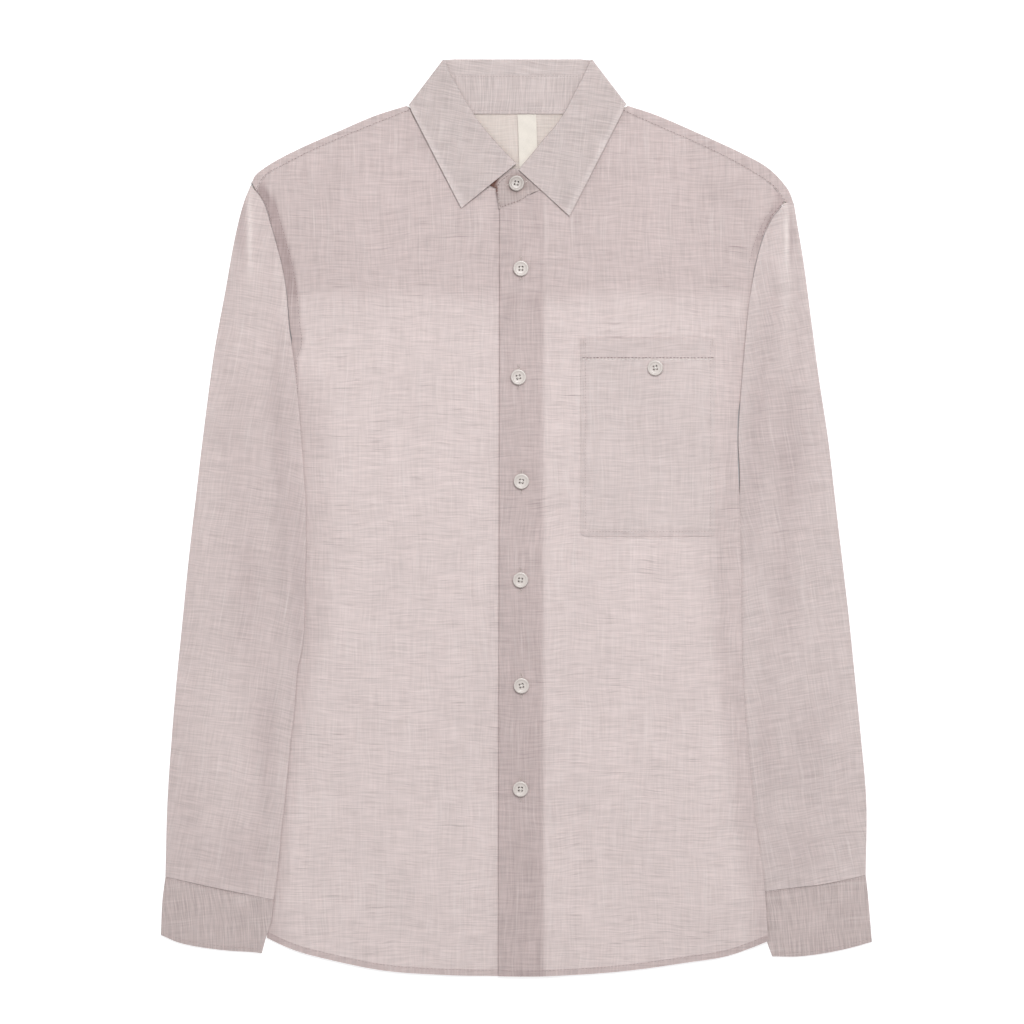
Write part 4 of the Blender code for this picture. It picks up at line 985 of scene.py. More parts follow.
def tube(name, plan, across, material, loft, open_edge, tone):
    """A flattened tube: upper layer from the inner edge to the outer one, round it, and back underneath."""
    width = np.hypot(*(plan[:, -1] - plan[:, 0]).T)[:, None]
    x, y = plan[..., 0], plan[..., 1]
    lift = climb_sleeve(x, y)
    puffed = loft * np.sin(np.pi * across[None, :]) ** 0.8 * open_edge[:, None]
    from_inner = (1 - across[None, :]) * width
    from_outer = across[None, :] * width
    puffed = puffed + folds(x, y) * step(from_outer / SLEEVE_RISE) * open_edge[:, None]
    puffed = puffed * step((from_inner - SLEEVE_REST) / SLEEVE_RISE)
    puffed = puffed + ridges(PLEATS, x, y) * step((from_outer - 1) / 3) * step((from_inner - 2) / 3)
    low = level(0) + lift
    high = low + LEVEL + puffed
    bend = LEVEL / 2
    outward = unit(plan[:, :1] - plan[:, 3:4])
    inward = unit(plan[:, -1:] - plan[:, -4:-3])
    inset = bend + WALL / 2
    near_out = np.clip(1 - from_outer / 4, 0, 1)[..., None]
    near_in = np.clip(1 - from_inner / 4, 0, 1)[..., None]
    plan = plan - outward * inset * near_out - inward * inset * near_in
    turns = HALF_TURN[1:-1]
    upper = np.concatenate([plan, high[..., None]], axis=-1)
    lower = np.concatenate([plan, low[..., None]], axis=-1)

    def round_edge(side, away, rise):
        """The columns on the way round one edge, from one layer to the other."""
        middle = (low[:, side] + high[:, side])[:, None] / 2
        return np.stack([np.concatenate([plan[:, side] + away[:, 0] * bend * np.cos(t), middle + rise * np.sin(t)],
                                        axis=-1) for t in turns], axis=1)

    out_turn, in_turn = round_edge(0, outward, bend), round_edge(-1, inward, -bend)
    grid = np.concatenate([upper[:, ::-1], out_turn, lower, in_turn], axis=1)
    out_tone, in_tone = (np.repeat(t, len(turns), axis=1) for t in (tone[:, :1], tone[:, -1:]))
    tones = np.concatenate([tone[:, ::-1], out_tone, tone * UNDERSIDE_TONE, in_tone], axis=1)
    return cloth(name, grid, tones, material, ring=True)


# Lighter and darker places on the sleeves, mostly painted light and shade: where the cloth curves, beside the
# pleats at the sleeve heads and along the right armhole, with darker strips where more layers lie under: x, y,
# half width, half height, tone.
SLEEVE_PAINTED_LIGHT_AND_SHADE = (
    (-226, 190, 16, 60, -0.1), (-236, 60, 18, 70, 0.1), (-262, 40, 10, 90, -0.1), (-228, -60, 14, 60, 0.28),
    (-262, -120, 18, 50, -0.06), (-250, -200, 24, 70, -0.15), (-214, -190, 10, 60, 0.34),
    (-280, -260, 14, 40, 0.12), (-236, -290, 26, 24, 0.3), (-202, 90, 12, 60, 0.22), (-196, 0, 12, 80, 0.26),
    (-184, -60, 8, 100, 0.34), (-206, 240, 14, 30, 0.14), (-234, 246, 5, 34, 0.6), (-226.6, 246, 2.2, 30, -1.0),
    (-219.5, 258, 4, 16, -0.2), (-210.5, 235, 4, 16, -0.2), (-203, 210, 4, 16, -0.25),
    (-197, 184, 4, 16, -0.25), (226, 190, 18, 60, 0.36), (232, 60, 18, 70, 0.54), (256, 60, 8, 120, 0.1),
    (226, -60, 14, 60, 0.3), (260, -140, 16, 60, 0.04), (246, -200, 22, 60, 0.26), (212, -190, 10, 60, 0.34),
    (282, -250, 12, 40, 0.1), (240, -286, 26, 22, 0.3), (206, 96, 10, 60, 0.36), (200, 10, 10, 60, 0.34),
    (229, 196, 6, 70, -0.45), (229.5, 240, 1.8, 24, -0.6), (233.5, 240, 1.8, 22, 0.7),
    (237.5, 236, 1.6, 18, 0.3),
)


# The sleeves' even tone for their layers, with the painted light and shade of the table above.
def sleeve_layers_and_painted_shade(x, y):
    tone = np.full(x.shape, SLEEVE_TONE)
    for cx, cy, wide, high, amount in SLEEVE_PAINTED_LIGHT_AND_SHADE:
        tone = tone + SLEEVE_PAINTED_SHADING * amount * np.exp(-(((x - cx) / wide) ** 2) - ((y - cy) / high) ** 2)
    return tone


def sleeve(name, armhole, seam, out, inner, shift, material):
    """A sleeve between its armhole and its cuff, clear of both."""
    across = np.linspace(0, 1, 43)
    down = spans((0, 0.24, 50), (0.24, 1, 150))
    plan = coons(armhole, seam, flip(out), flip(inner), across, down)
    fade = np.clip(1 - down / 0.03, 0, 1)[:, None, None]
    plan = plan + np.array(shift) * fade
    plan = plan + np.array([0, SEAM]) * np.clip(1 - (1 - down) / 0.01, 0, 1)[:, None, None]
    tone = sleeve_layers_and_painted_shade(plan[..., 0], plan[..., 1])
    return tube(name, plan, across, material, SLEEVE_LOFT, step(down / 0.12), tone)


def cuff(name, seam, end, out, inner):
    across = np.linspace(0, 1, 43)
    down = np.linspace(0, 1, 22)
    plan = coons(seam, end, out, inner, across, down)
    plan = plan - np.array([0, SEAM]) * np.clip(1 - down / 0.04, 0, 1)[:, None, None]
    tone = CUFF_END_TONE * near((1 - down) * 48, 3) + CUFF_SEAM_TONE * near(down * 48, 5)
    tone = tone[:, None] + 0 * across[None, :]
    open_edge = 0.6 + 0.4 * step(down / 0.3)
    return tube(name, plan, across, CUFF_CLOTH, CUFF_LOFT, open_edge, tone)


def turned(front_z, back_z, turn):
    """Height on the way round the neck's folded side, and how far out from the fold's axis it is."""
    radius = (front_z - back_z) / 2
    angle = np.radians(turn)
    return (front_z + back_z) / 2 + radius * np.cos(angle), radius * np.sin(angle)


def band_point(plan, outward, front_z, back_z, turn):
    z, out = turned(front_z, back_z, turn)
    shift = outward * (out - (front_z - back_z) / 2 - WALL / 2) if 0 < turn < 180 else 0
    return np.array([*(plan + shift), z])


def fold_normal(station):
    """Plan direction away from the garment, across the folded side of the collar."""
    down = unit([station.edge_x - station.roll_x, station.edge_y - station.roll_y])
    return np.array([down[1], -down[0]]) * -station.side * np.sign(-down[1])


def under_level(station):
    return level(UNDER_RIGHT_LEVEL if station.side < 0 else UNDER_LEFT_LEVEL)


def round_band():
    """The band's stations, with more on the way round each folded side of the neck."""
    made = []
    for s in BAND:
        if s.turn == 90:
            turns = range(40, 160, 20) if s.side < 0 else range(140, 20, -20)
            made += [s._replace(turn=turn) for turn in turns]
        else:
            made.append(s)
    return made


def more_columns(columns, curved):
    """Columns of points with more in between: on a smooth curve where curved says so, else straight."""
    columns = np.array(columns)
    index = np.arange(len(columns))
    fine = []
    for i in index[:-1]:
        count = max(1, int(np.ceil(np.linalg.norm(columns[i + 1] - columns[i], axis=1).max() / STEP_MM)))
        fine += list(i + np.arange(count) / count)
    fine = np.array(fine + [len(columns) - 1])
    flat = columns.reshape(len(columns), -1)
    bent = np.stack([smooth(index, flat[:, k], fine) for k in range(flat.shape[1])], axis=1)
    low = np.floor(fine).astype(int).clip(0, len(columns) - 2)
    t = (fine - low)[:, None]
    straight = flat[low] * (1 - t) + flat[low + 1] * t
    made = np.where(np.array([curved(i) for i in fine])[:, None], bent, straight)
    return made.reshape(len(fine), -1, 3)


def fall():
    """The collar's fall: from the stand's seam up to the roll line, over it and down to the outer edge."""
    columns = []
    for s in round_band():
        roll, rim, seam = (np.array(p) for p in ((s.roll_x, s.roll_y), (s.edge_x, s.edge_y), (s.seam_x, s.seam_y)))
        beyond = unit(roll - rim)
        outward = fold_normal(s)
        behind = step((s.turn - 20) / 140)
        gap = (FALL_ROLL_Z - under_level(s)) * (1 - behind) + LEVEL * behind
        roll = roll - beyond * (gap / 2 + WALL / 2)
        inner = band_point(roll, outward, under_level(s), level(1), s.turn)
        outer = band_point(roll, outward, FALL_ROLL_Z, level(0), s.turn)
        centre = (inner + outer) / 2
        reach = np.array([*beyond, 0]) * np.linalg.norm(outer - inner) / 2
        start = band_point(seam, outward, under_level(s), level(1), s.turn)
        column = [start + (inner - start) * share for share in np.linspace(0, 1, 6)]
        for turn in np.radians(np.linspace(0, 180, 11)[1:-1]):
            column.append(centre + (inner - centre) * np.cos(turn) + reach * np.sin(turn))
        column.append(outer)
        for share in np.linspace(0, 1, 17)[1:]:
            rim_z = s.edge_z - LEAF_DROP
            front_z = FALL_ROLL_Z + (rim_z - FALL_ROLL_Z) * share + FALL_CROWN * np.sin(np.pi * share)
            column.append(band_point(roll + (rim - roll) * share, outward, front_z, level(0), s.turn))
        columns.append(column)
    last = len(columns) - 1
    grid = more_columns(columns, lambda i: i < 5 or i > last - 5).transpose(1, 0, 2)
    tone = np.zeros(grid.shape[:2])
    # A painted highlight along the rim.
    tone[-2:] = FALL_RIM_PAINTED_HIGHLIGHT
    tone[:7] = FALL_INNER_TONE
    return cloth("collar", grid, tone, COLLAR_CLOTH, thick=COLLAR_SHELL)


def stand():
    """The collar stand: its right end under the lap, round the neck, and its left end buttoned over."""
    shares = np.linspace(0, 1, 10)
    columns = []
    for e in STAND_END_RIGHT:
        columns.append(stand_column((e.x, e.y), (e.neck_x, e.neck_y), level(UNDER_RIGHT_LEVEL), shares))
    for s in round_band():
        outward = fold_normal(s)
        seam, neck = np.array([s.seam_x, s.seam_y]), np.array([s.neck_x, s.neck_y])
        seam = seam + unit(neck - seam) * STAND_GAP
        columns.append([band_point(seam + (neck - seam) * t, outward, under_level(s), level(1), s.turn)
                        for t in shares])
    for e in STAND_END_LEFT:
        columns.append(stand_column((e.x, e.y), (e.neck_x, e.neck_y), level(UNDER_LEFT_LEVEL), shares))
    last = len(columns) - 1
    grid = more_columns(columns, lambda i: i < 7 or i > last - 8).transpose(1, 0, 2)
    # Painted shade on the tab below the fall, darker again just round the neck button.
    from_button = np.hypot(grid[..., 0] - NECK_BUTTON[1], grid[..., 1] - NECK_BUTTON[2])
    tone = TAB_PAINTED_SHADE * step((300 - grid[..., 1]) / 10) * (1 + near(from_button - BUTTON_RADIUS, 4))
    # A painted shadow in the notch where the tab's end meets the fall.
    corner = step((-15.6 - grid[..., 0]) / 1.2) * step((grid[..., 1] - 270) / 3) * step((292 - grid[..., 1]) / 3)
    tone = tone + TAB_NOTCH_PAINTED_SHADOW * corner
    return cloth("collar_stand", grid, tone, STAND_CLOTH, thick=COLLAR_SHELL)


def stand_column(top, neck, z, shares):
    top, neck = np.array(top), np.array(neck)
    return [np.array([*(top + (neck - top) * t), z]) for t in shares]


def pocket():
    """The chest pocket, on the left front's surface moved out by one level, its two lower corners rounded."""
    columns = spans((0, 0.05, 6), (0.05, 0.95, 40), (0.95, 1, 6))
    rows = spans((0, 0.13, 16), (0.13, 0.96, 55), (0.96, 1, 8))
    y = POCKET_TOP_Y + (POCKET_FOOT_Y - POCKET_TOP_Y) * rows[:, None] + 0 * columns[None, :]
    above = np.clip(y - POCKET_FOOT_Y, 0, POCKET_ROUND)
    inset = POCKET_ROUND - np.sqrt(POCKET_ROUND**2 - (POCKET_ROUND - above) ** 2)
    middle, half = (POCKET_LEFT_X + POCKET_RIGHT_X) / 2, (POCKET_RIGHT_X - POCKET_LEFT_X) / 2
    x = middle + (2 * columns[None, :] - 1) * (half - inset)
    sides = half - abs(x - middle)
    free = np.minimum(step((sides - 1) / 9), step((y - POCKET_FOOT_Y - 1) / 9))
    z = left_front_z(x, y, left_top(x)) + POCKET_SEWN + (LEVEL + POCKET_CLEAR - POCKET_SEWN) * free
    header = step((y - POCKET_HEADER_Y) / 0.8)
    z = z + 0.3 * header
    tone = POCKET_TONE + POCKET_HEADER_TONE * header + POCKET_SIDE_TONE * near(sides - 5, 1)
    tone = tone + POCKET_FOOT_TONE * near(y - POCKET_FOOT_Y - 5, 1)
    return cloth("pocket", np.stack([x, y, z], axis=-1), tone, POCKET_CLOTH)


def label():
    """The blank woven label that hangs inside the back neck."""
    columns, rows = np.linspace(0, 1, 9), np.linspace(0, 1, 24)
    y = LABEL_TOP_Y - LABEL_LENGTH * rows[:, None] + 0 * columns[None, :]
    x = LABEL_X + LABEL_WIDTH * columns[None, :] + LABEL_TILT * (LABEL_TOP_Y - y)
    z = level(1) + 0.12 * np.sin(3 * rows[:, None]) + 0 * x
    return cloth("neck_label", np.stack([x, y, z], axis=-1), 0, LABEL_TAPE, thick=0.6)


BUTTON_PROFILE = (
    (0.0, 0.0), (5.6, 0.0), (6.2, 0.15), (6.5, 0.5), (6.6, 0.9), (6.6, 1.7), (6.5, 2.1), (6.25, 2.45), (5.8, 2.6),
    (5.3, 2.58), (4.9, 2.4), (4.55, 2.1), (4.2, 1.95), (3.6, 1.88), (0.0, 1.85),
)


def button_mesh():
    """A four-hole button turned from its profile, with four holes cut through."""
    sides = 56
    angles = np.linspace(0, 2 * np.pi, sides, endpoint=False)
    verts, rings = [], []
    for radius, z in BUTTON_PROFILE:
        count = 1 if radius == 0 else sides
        rings.append(range(len(verts), len(verts) + count))
        verts += [(radius * np.cos(a), radius * np.sin(a), z) for a in angles[:count]]
    faces = []
    for low, high in zip(rings, rings[1:]):
        for i in range(sides):
            j = (i + 1) % sides
            ring = [low[i % len(low)], low[j % len(low)], high[j % len(high)], high[i % len(high)]]
            faces.append(list(dict.fromkeys(ring)))
    blank = object_of("button_blank", verts, faces, SHELL_BUTTON)
    holes = []
    for side_x, side_y in ((-1, -1), (1, -1), (1, 1), (-1, 1)):
        ring = [(side_x * HOLE_OFFSET + HOLE_RADIUS * np.cos(a), side_y * HOLE_OFFSET + HOLE_RADIUS * np.sin(a))
                for a in angles[::2]]
        count = len(ring)
        walls = [(i, (i + 1) % count, count + (i + 1) % count, count + i) for i in range(count)]
        caps = [tuple(range(count))[::-1], tuple(range(count, 2 * count))]
        ends = [(*p, -1) for p in ring] + [(*p, 4) for p in ring]
        hole = object_of("hole", ends, walls + caps, SHELL_BUTTON)
        cut = blank.modifiers.new("hole", "BOOLEAN")
        cut.operation, cut.object, cut.solver = "DIFFERENCE", hole, "EXACT"
        holes.append(hole)
    made = baked(blank, 0.6)
    for extra in (*holes, blank):
        bpy.data.objects.remove(extra)
    return made


def buttons():
    """The eight buttons, in the CAD nodes' places, each turned and tilted a little differently."""
    mesh = button_mesh()
    placed = []
    for i, (name, x, y) in enumerate(BUTTONS + (NECK_BUTTON, POCKET_BUTTON)):
        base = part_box(name)[0][2]
        made = mesh
        # The neck button gets the darker copy, painted shade under the collar.
        if name == "button_neck":
            made = mesh.copy()
            made.materials[0] = NECK_BUTTON_PAINTED_SHADE
        piece = bpy.data.objects.new(name + "_turned", made)
        bpy.context.scene.collection.objects.link(piece)
        piece.location = (x * MM, y * MM, base)
        tilt = -0.09 if name == "button_pocket" else 0.012 * np.sin(i * 2.3)
        piece.rotation_euler = (0.01 * np.cos(i * 1.7), tilt, 0.22 * np.sin(i * 1.9))
        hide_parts(name)
        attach(piece, "root")
        placed.append(piece)
    return placed


shells = {piece.name.removesuffix("_shell"): piece for piece in (
    back(), yoke(), front_right(), front_left(),
    sleeve("sleeve_right", ARMHOLE_RIGHT, CUFF_SEAM_RIGHT, SLEEVE_OUT_RIGHT, SLEEVE_IN_RIGHT, (-0.14, -0.12),
           SLEEVE_RIGHT_CLOTH),
    sleeve("sleeve_left", ARMHOLE_LEFT, CUFF_SEAM_LEFT, SLEEVE_OUT_LEFT, SLEEVE_IN_LEFT, (0.16, -0.18),
           SLEEVE_LEFT_CLOTH),
    cuff("cuff_right", CUFF_SEAM_RIGHT, CUFF_END_RIGHT, CUFF_OUT_RIGHT, CUFF_IN_RIGHT),
    cuff("cuff_left", CUFF_SEAM_LEFT, CUFF_END_LEFT, CUFF_OUT_LEFT, CUFF_IN_LEFT),
    fall(), stand(), pocket(), label(),
)}
pearls = buttons()

bpy.context.view_layer.update()
GRAPH = bpy.context.evaluated_depsgraph_get()
SURFACES = {name: BVHTree.FromObject(piece, GRAPH) for name, piece in shells.items()}
sewn = {name: [] for name in shells}

# Metres above or below the shirt from which its surfaces are looked for, and how far stitches wander, in mm.
BEYOND = 0.05
SWAY = 0.08


def settle(surface, x, y, below=False):
    """Height in millimetres of a shell's upper or lower surface at a place, or None beside it."""
    start = Vector((x * MM, y * MM, -BEYOND if below else BEYOND))
    point = SURFACES[surface].ray_cast(start, Vector((0, 0, 1 if below else -1)))[0]
    return None if point is None else point.z / MM


def rod(points, radius, flat=1.0):
    """A closed six-sided tube along some points, its ends drawn in: vertices and faces."""
    points = np.asarray(points, float)
    sides = 6
    ahead = np.gradient(points, axis=0)
    ahead /= np.linalg.norm(ahead, axis=1)[:, None]
    up = np.array([0, 0, 1.0]) if abs(ahead[:, 2]).max() < 0.95 else np.array([1.0, 0, 0])
    side = np.cross(ahead, up)
    side /= np.linalg.norm(side, axis=1)[:, None]
    rise = np.cross(side, ahead)
    angles = np.linspace(0, 2 * np.pi, sides, endpoint=False)
    radii = np.full(len(points), radius, float)
    radii[[0, -1]] *= 0.45
    ring = side[:, None] * np.cos(angles)[None, :, None] + rise[:, None] * (flat * np.sin(angles))[None, :, None]
    verts = (points[:, None] + ring * radii[:, None, None]).reshape(-1, 3)
    faces = []
    for low in range(0, (len(points) - 1) * sides, sides):
        for k in range(sides):
            j = (k + 1) % sides
            faces.append((low + k, low + j, low + sides + j, low + sides + k))
    faces.append(tuple(range(sides))[::-1])
    faces.append(tuple(range((len(points) - 1) * sides, len(points) * sides)))
    return verts, faces


def thread(name, rods, material, surface):
    """One object from many tubes, sewn to a shell."""
    verts, faces, start = [], [], 0
    for more_verts, more_faces in rods:
        verts.append(more_verts)
        faces += [tuple(i + start for i in face) for face in more_faces]
        start += len(more_verts)
    if verts:
        piece = object_of(name, np.concatenate(verts), faces, material)
        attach(piece, "root")
        sewn[surface].append(piece)


def stitches(name, line, surface, length, gap, radius=0.16, material=THREAD, below=False):
    """A row of stitches along a plan line, each lying on the shell under it, a little uneven as real ones are."""
    line = np.asarray(line, float)
    run = np.concatenate([[0], np.cumsum(np.hypot(*np.diff(line, axis=0).T))])
    lift = (-1 if below else 1) * radius * np.array([-0.5, 0.45, 0.45, -0.5])
    rods = []
    for i, start in enumerate(np.arange(0.4, run[-1] - length, length + gap)):
        at = start + 0.18 * np.sin(i * 2.7) + length * np.linspace(0, 1, 4) * (1 + 0.06 * np.sin(i * 1.9))
        x = np.interp(at, run, line[:, 0]) + SWAY * np.sin(i * 1.3)
        y = np.interp(at, run, line[:, 1]) + SWAY * np.cos(i * 1.7)
        found = [settle(surface, px, py, below) for px, py in zip(x, y)]
        if None not in found:
            rods.append(rod(np.stack([x, y, np.array(found) + lift], axis=1), radius, flat=0.8))
    thread(name, rods, material, surface)


def zigzag(name, start, end, wide, surface, pitch=0.42, radius=0.17):
    """A dense bar of satin stitches between two plan points."""
    start, end = np.array(start, float), np.array(end, float)
    length = np.hypot(*(end - start))
    ahead = (end - start) / length
    side = np.array([-ahead[1], ahead[0]])
    rods = []
    for i in range(int(length / pitch)):
        middle = start + ahead * pitch * (i + 0.5)
        ends = [middle + side * wide / 2 * s + ahead * pitch * 0.3 * s * (-1) ** i for s in (-1, 0, 1)]
        found = [settle(surface, *p) for p in ends]
        if None not in found:
            rods.append(rod([(*p, z + h) for p, z, h in zip(ends, found, (0.0, 0.22, 0.0))], radius))
    thread(name, rods, THREAD_PALE, surface)


def beside(line, distance):
    """A plan line moved sideways, to the left of its run if the distance is over 0."""
    line = np.asarray(line, float)
    run = unit(np.gradient(line, axis=0))
    return line + distance * np.stack([-run[:, 1], run[:, 0]], axis=1)


def shoulder_line(rows, top):
    return np.array([(s.seam_x, s.seam_y) for s in shoulder_rows(rows, top)])


def side_line(table, low, high, inside):
    y = np.linspace(high, low, 90)
    return np.stack([edge(table, y) + inside, y], axis=1)


def hem_line(low, high, above):
    x = np.linspace(low, high, 160)
    return np.stack([x, hem_y(x) + above], axis=1)


def level_line(low, high, y, count):
    x = np.linspace(low, high, count)
    return np.stack([x, y + 0 * x], axis=1)


stitches("shoulder_stitching_right", beside(shoulder_line(SHOULDER_RIGHT, right_top), 0.9), "yoke", 2.0, 0.9,
         material=THREAD_DARK)
stitches("shoulder_stitching_left", beside(shoulder_line(SHOULDER_LEFT, left_top)[::-1], 0.9), "yoke", 2.0, 0.9,
         material=THREAD_DARK)
stitches("armhole_stitching_right", side_line(BODY_RIGHT, 104, 264, 8.6), "front_right", 1.2, 1.5, 0.13,
         THREAD_DARK)
stitches("armhole_stitching_left", side_line(BODY_LEFT, 214, 262, -5.6), "front_left", 1.2, 1.5, 0.13, THREAD_DARK)
stitches("hem_stitching_right", hem_line(-209, -16, HEM_BAND - 0.7), "front_right", 2.2, 0.9)
stitches("hem_stitching_left", hem_line(-13, 212, HEM_BAND - 0.7), "front_left", 2.2, 0.9)
stitches("hem_stitching_back", hem_line(-208, 209, HEM_BAND + 1.0), "back", 2.2, 0.9, below=True)
stitches("yoke_stitching_back", level_line(-190, 196, YOKE_BACK_Y + 1.6, 160), "yoke", 2.2, 0.9, below=True)

for side, seam, inward in (("right", CUFF_SEAM_RIGHT, -1.3), ("left", CUFF_SEAM_LEFT, 1.3)):
    line = beside(along(seam, np.linspace(0.01, 0.99, 80)), inward)
    stitches(f"cuff_stitching_{side}", line, f"cuff_{side}", 1.5, 0.9, 0.11)
    stitches(f"cuff_stitching_under_{side}", line, f"cuff_{side}", 1.5, 0.9, below=True)
for side, end, inward in (("right", CUFF_END_RIGHT, 3.2), ("left", CUFF_END_LEFT, -3.2)):
    line = beside(along(end, np.linspace(0.03, 0.97, 80)), inward)
    stitches(f"cuff_edge_stitching_{side}", line, f"cuff_{side}", 2.0, 1.0, 0.13)

# The pocket's seam line, from its upper corner on the viewer's left round its foot to the other one.
left, right, foot = POCKET_LEFT_X + POCKET_IN, POCKET_RIGHT_X - POCKET_IN, POCKET_FOOT_Y + POCKET_IN
pocket_line = ((left, POCKET_TOP_Y - 1), (left, foot + 2.5), (left + 2.5, foot), (right - 2.5, foot),
               (right, foot + 2.5), (right, POCKET_TOP_Y - 1))
header = ((POCKET_LEFT_X + 1, POCKET_HEADER_Y), (POCKET_RIGHT_X - 1, POCKET_HEADER_Y))
stitches("pocket_stitching", pocket_line, "pocket", 1.4, 1.3, 0.12)
stitches("pocket_edge_stitching", beside(pocket_line, -3.2), "pocket", 1.8, 0.9, 0.12, THREAD_PALE)
stitches("pocket_header_stitching", header, "pocket", 2.6, 0.35, 0.26, THREAD_DARK)
stitches("pocket_header_edge", beside(header, -1.3), "pocket", 3.4, 0.3, 0.22, THREAD_WHITE)
stitches("armhole_edge_stitching_left", beside(ARMHOLE_LEFT[1:8], -1.3), "front_left", 2.2, 1.1, 0.2,
         THREAD_DARK)
stitches("armhole_head_stitching_left", beside(ARMHOLE_LEFT[:2], 1.0), "yoke", 2.6, 1.2, 0.36, THREAD_DARK)
stitches("armhole_edge_stitching_right", beside(ARMHOLE_RIGHT[:3], 1.2), "front_right", 2.2, 1.1, 0.13,
         THREAD_DARK)
for side, x in (("right", POCKET_LEFT_X + 2.4), ("left", POCKET_RIGHT_X - 2.4)):
    zigzag(f"pocket_bartack_{side}", (x, POCKET_TOP_Y - 1), (x, POCKET_TOP_Y - 7), 1.6, "pocket", 0.6, 0.1)

# The tab of the stand: stitched close to its rounded end and its lower edge.
TAB = ((-6.9, 290.2), (-11.6, 287.0), (-14.7, 283.3), (-15.9, 278.0), (-15.2, 270.0), (-13.4, 263.9),
       (-7.6, 265.6), (-1.6, 267.7), (4.9, 270.2), (12.0, 276.0))
label_line = ((LABEL_X + 0.6, LABEL_TOP_Y - 1.2), (LABEL_X + LABEL_WIDTH - 0.6, LABEL_TOP_Y - 1.2))
stitches("tab_stitching", along(TAB, np.linspace(0, 1, 60)), "collar_stand", 1.9, 0.7, 0.2, THREAD_DARK)
stitches("stand_stitching_inside", level_line(-62, 64, 345.6, 90), "collar_stand", 1.8, 0.9, 0.13)
stitches("stand_stitching_upper", level_line(-52.7, 54.4, 374.6, 90), "collar_stand", 1.8, 0.9, 0.13)
stitches("label_stitching", label_line, "neck_label", 1.6, 0.8, 0.12, THREAD_PALE)

half = BUTTONHOLE / 2
for name, x, y in BUTTONS:
    for k, at_x in enumerate((x - 0.62, x + 0.62)):
        zigzag(f"{name}_hole_side_{k + 1}", (at_x, y - half), (at_x, y + half), 1.0, "front_left")
    for k, sign in enumerate((-1, 1)):
        inner_y, outer_y = y + sign * (half - 0.4), y + sign * (half + 0.9)
        zigzag(f"{name}_hole_end_{k + 1}", (x, inner_y), (x, outer_y), 2.4, "front_left")
name, x, y = NECK_BUTTON
zigzag(f"{name}_hole", (x - 9.5, y - 1.6), (x + 9.5, y + 1.6), 2.0, "collar_stand")

# One strand between two holes of a button: how far along, in shares of the hole's place, and its height.
STRAND = ((-0.8, 0.3), (-0.8, 1.5), (-0.74, 1.95), (-0.5, 2.12), (0, 2.2), (0.5, 2.12), (0.74, 1.95), (0.8, 1.5),
          (0.8, 0.3))
SEWN_TO = {"button_neck_turned": "collar_stand", "button_pocket_turned": "pocket"}
for i, pearl in enumerate(pearls):
    base = np.array(pearl.location) / MM
    rods = []
    for diagonal, over in ((np.pi / 4, 0.0), (-np.pi / 4, 0.2)):
        a = pearl.rotation_euler.z + 0.05 * np.sin(i) + diagonal
        ahead, aside = np.array([np.cos(a), np.sin(a), 0]), np.array([-np.sin(a), np.cos(a), 0])
        reach = HOLE_OFFSET * np.sqrt(2)
        for strand in (-0.19, 0.19):
            rods.append(rod([base + ahead * reach * u + aside * strand + np.array([0, 0, z + over])
                             for u, z in STRAND], 0.2))
    for a in np.arange(5) * 2 * np.pi / 5:
        foot = base + np.array([0.8 * np.cos(a), 0.8 * np.sin(a), 0])
        rods.append(rod([foot + np.array([0, 0, z]) for z in (-0.5, 0.0, 0.5)], 0.4))
    surface = SEWN_TO.get(pearl.name, "front_left")
    thread(pearl.name.replace("_turned", "_thread"), rods, THREAD_WHITE, surface)

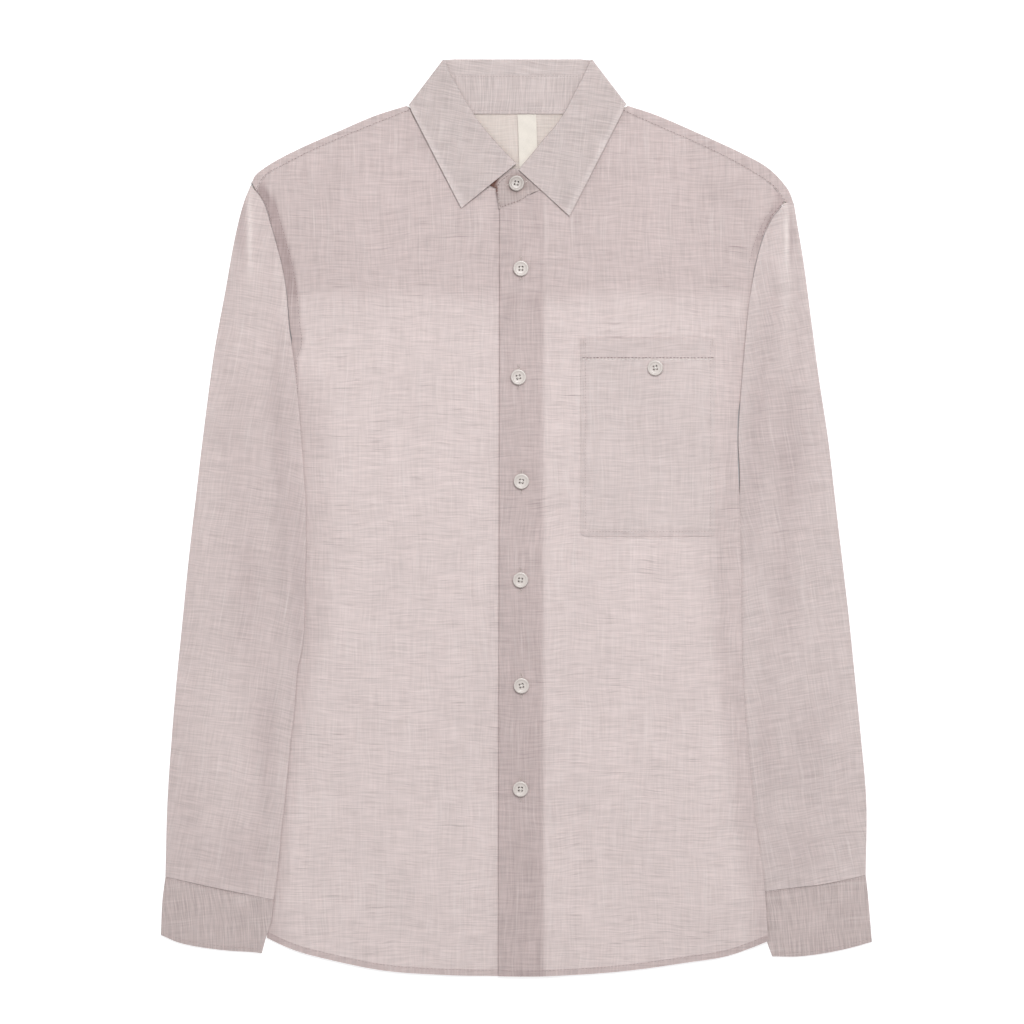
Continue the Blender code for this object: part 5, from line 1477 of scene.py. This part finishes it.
# The sheets of cloth as they were cut, in metres: width, length, the area of the cut, and what each lies on.
SHEETS = (
    ("back", (0.43, 0.59), 0.2236, "laid", ()),
    ("yoke", (0.47, 0.25), 0.0631, "folded", ("back",)),
    ("front_right", (0.26, 0.73), 0.1532, "laid", ("back",)),
    ("front_left", (0.29, 0.73), 0.1720, "laid", ("back", "front_right")),
    ("sleeve_right", (0.19, 0.62), 0.0987, "folded", ("back",)),
    ("sleeve_left", (0.19, 0.62), 0.0935, "folded", ("back",)),
    ("cuff_right", (0.19, 0.055), 0.0092, "folded", ()),
    ("cuff_left", (0.2, 0.06), 0.0103, "folded", ()),
    ("collar", (0.45, 0.06), 0.0215, "folded", ("collar_stand",)),
    ("collar_stand", (0.46, 0.036), 0.0110, "folded", ("yoke",)),
    ("pocket", (0.1146, 0.1683), 0.0192, "laid", ("front_left",)),
    ("neck_label", (0.0158, 0.046), 0.0007, "laid", ("yoke",)),
)

# The studio, in metres: the floor's half side and place, lamps, light from all round, and the camera.
FLOOR_REACH = 4
FLOOR_Z = -0.0002
LAMPS = (("key", (0.4, 1.1, 2.4), 1.0, 46), ("fill", (-1.1, -0.5, 2.6), 2.2, 9))
SKY_STRENGTH = 0.52
CAMERA_PLACE = (-0.0037, 0.0047, 3.0)
CAMERA_SENSOR = 36
CAMERA_LENS = 124.08
CAMERA_CLIP = (0.05, 50)


def in_scene(name, data, place):
    made = bpy.data.objects.new(name, data)
    made.location = place
    bpy.context.scene.collection.objects.link(made)
    return made


bpy.context.scene.view_settings.view_transform = "Standard"

floor_mesh = bpy.data.meshes.new("floor")
corners = [(FLOOR_REACH * x, FLOOR_REACH * y, 0) for x, y in ((-1, -1), (1, -1), (1, 1), (-1, 1))]
floor_mesh.from_pydata(corners, [], [(0, 1, 2, 3)])
floor_mesh.materials.append(FLOOR_WHITE)
in_scene("floor", floor_mesh, (0, 0, FLOOR_Z))

for name, place, size, power in LAMPS:
    light = bpy.data.lights.new(name, "AREA")
    light.shape, light.size, light.energy = "SQUARE", size, power
    in_scene(name, light, place).rotation_euler = (-Vector(place)).to_track_quat("-Z", "Y").to_euler()

world = bpy.data.worlds.new("studio")
world.use_nodes = True
world.node_tree.nodes["Background"].inputs["Color"].default_value = (1, 1, 1, 1)
world.node_tree.nodes["Background"].inputs["Strength"].default_value = SKY_STRENGTH
bpy.context.scene.world = world

lens = bpy.data.cameras.new("camera")
lens.sensor_width, lens.lens = CAMERA_SENSOR, CAMERA_LENS
lens.clip_start, lens.clip_end = CAMERA_CLIP
bpy.context.scene.camera = in_scene("camera", lens, CAMERA_PLACE)
bpy.context.view_layer.update()

for name, flat, area, held, rests_on in SHEETS:
    [base + "_shell" for base in rests_on]
    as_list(sewn[name])
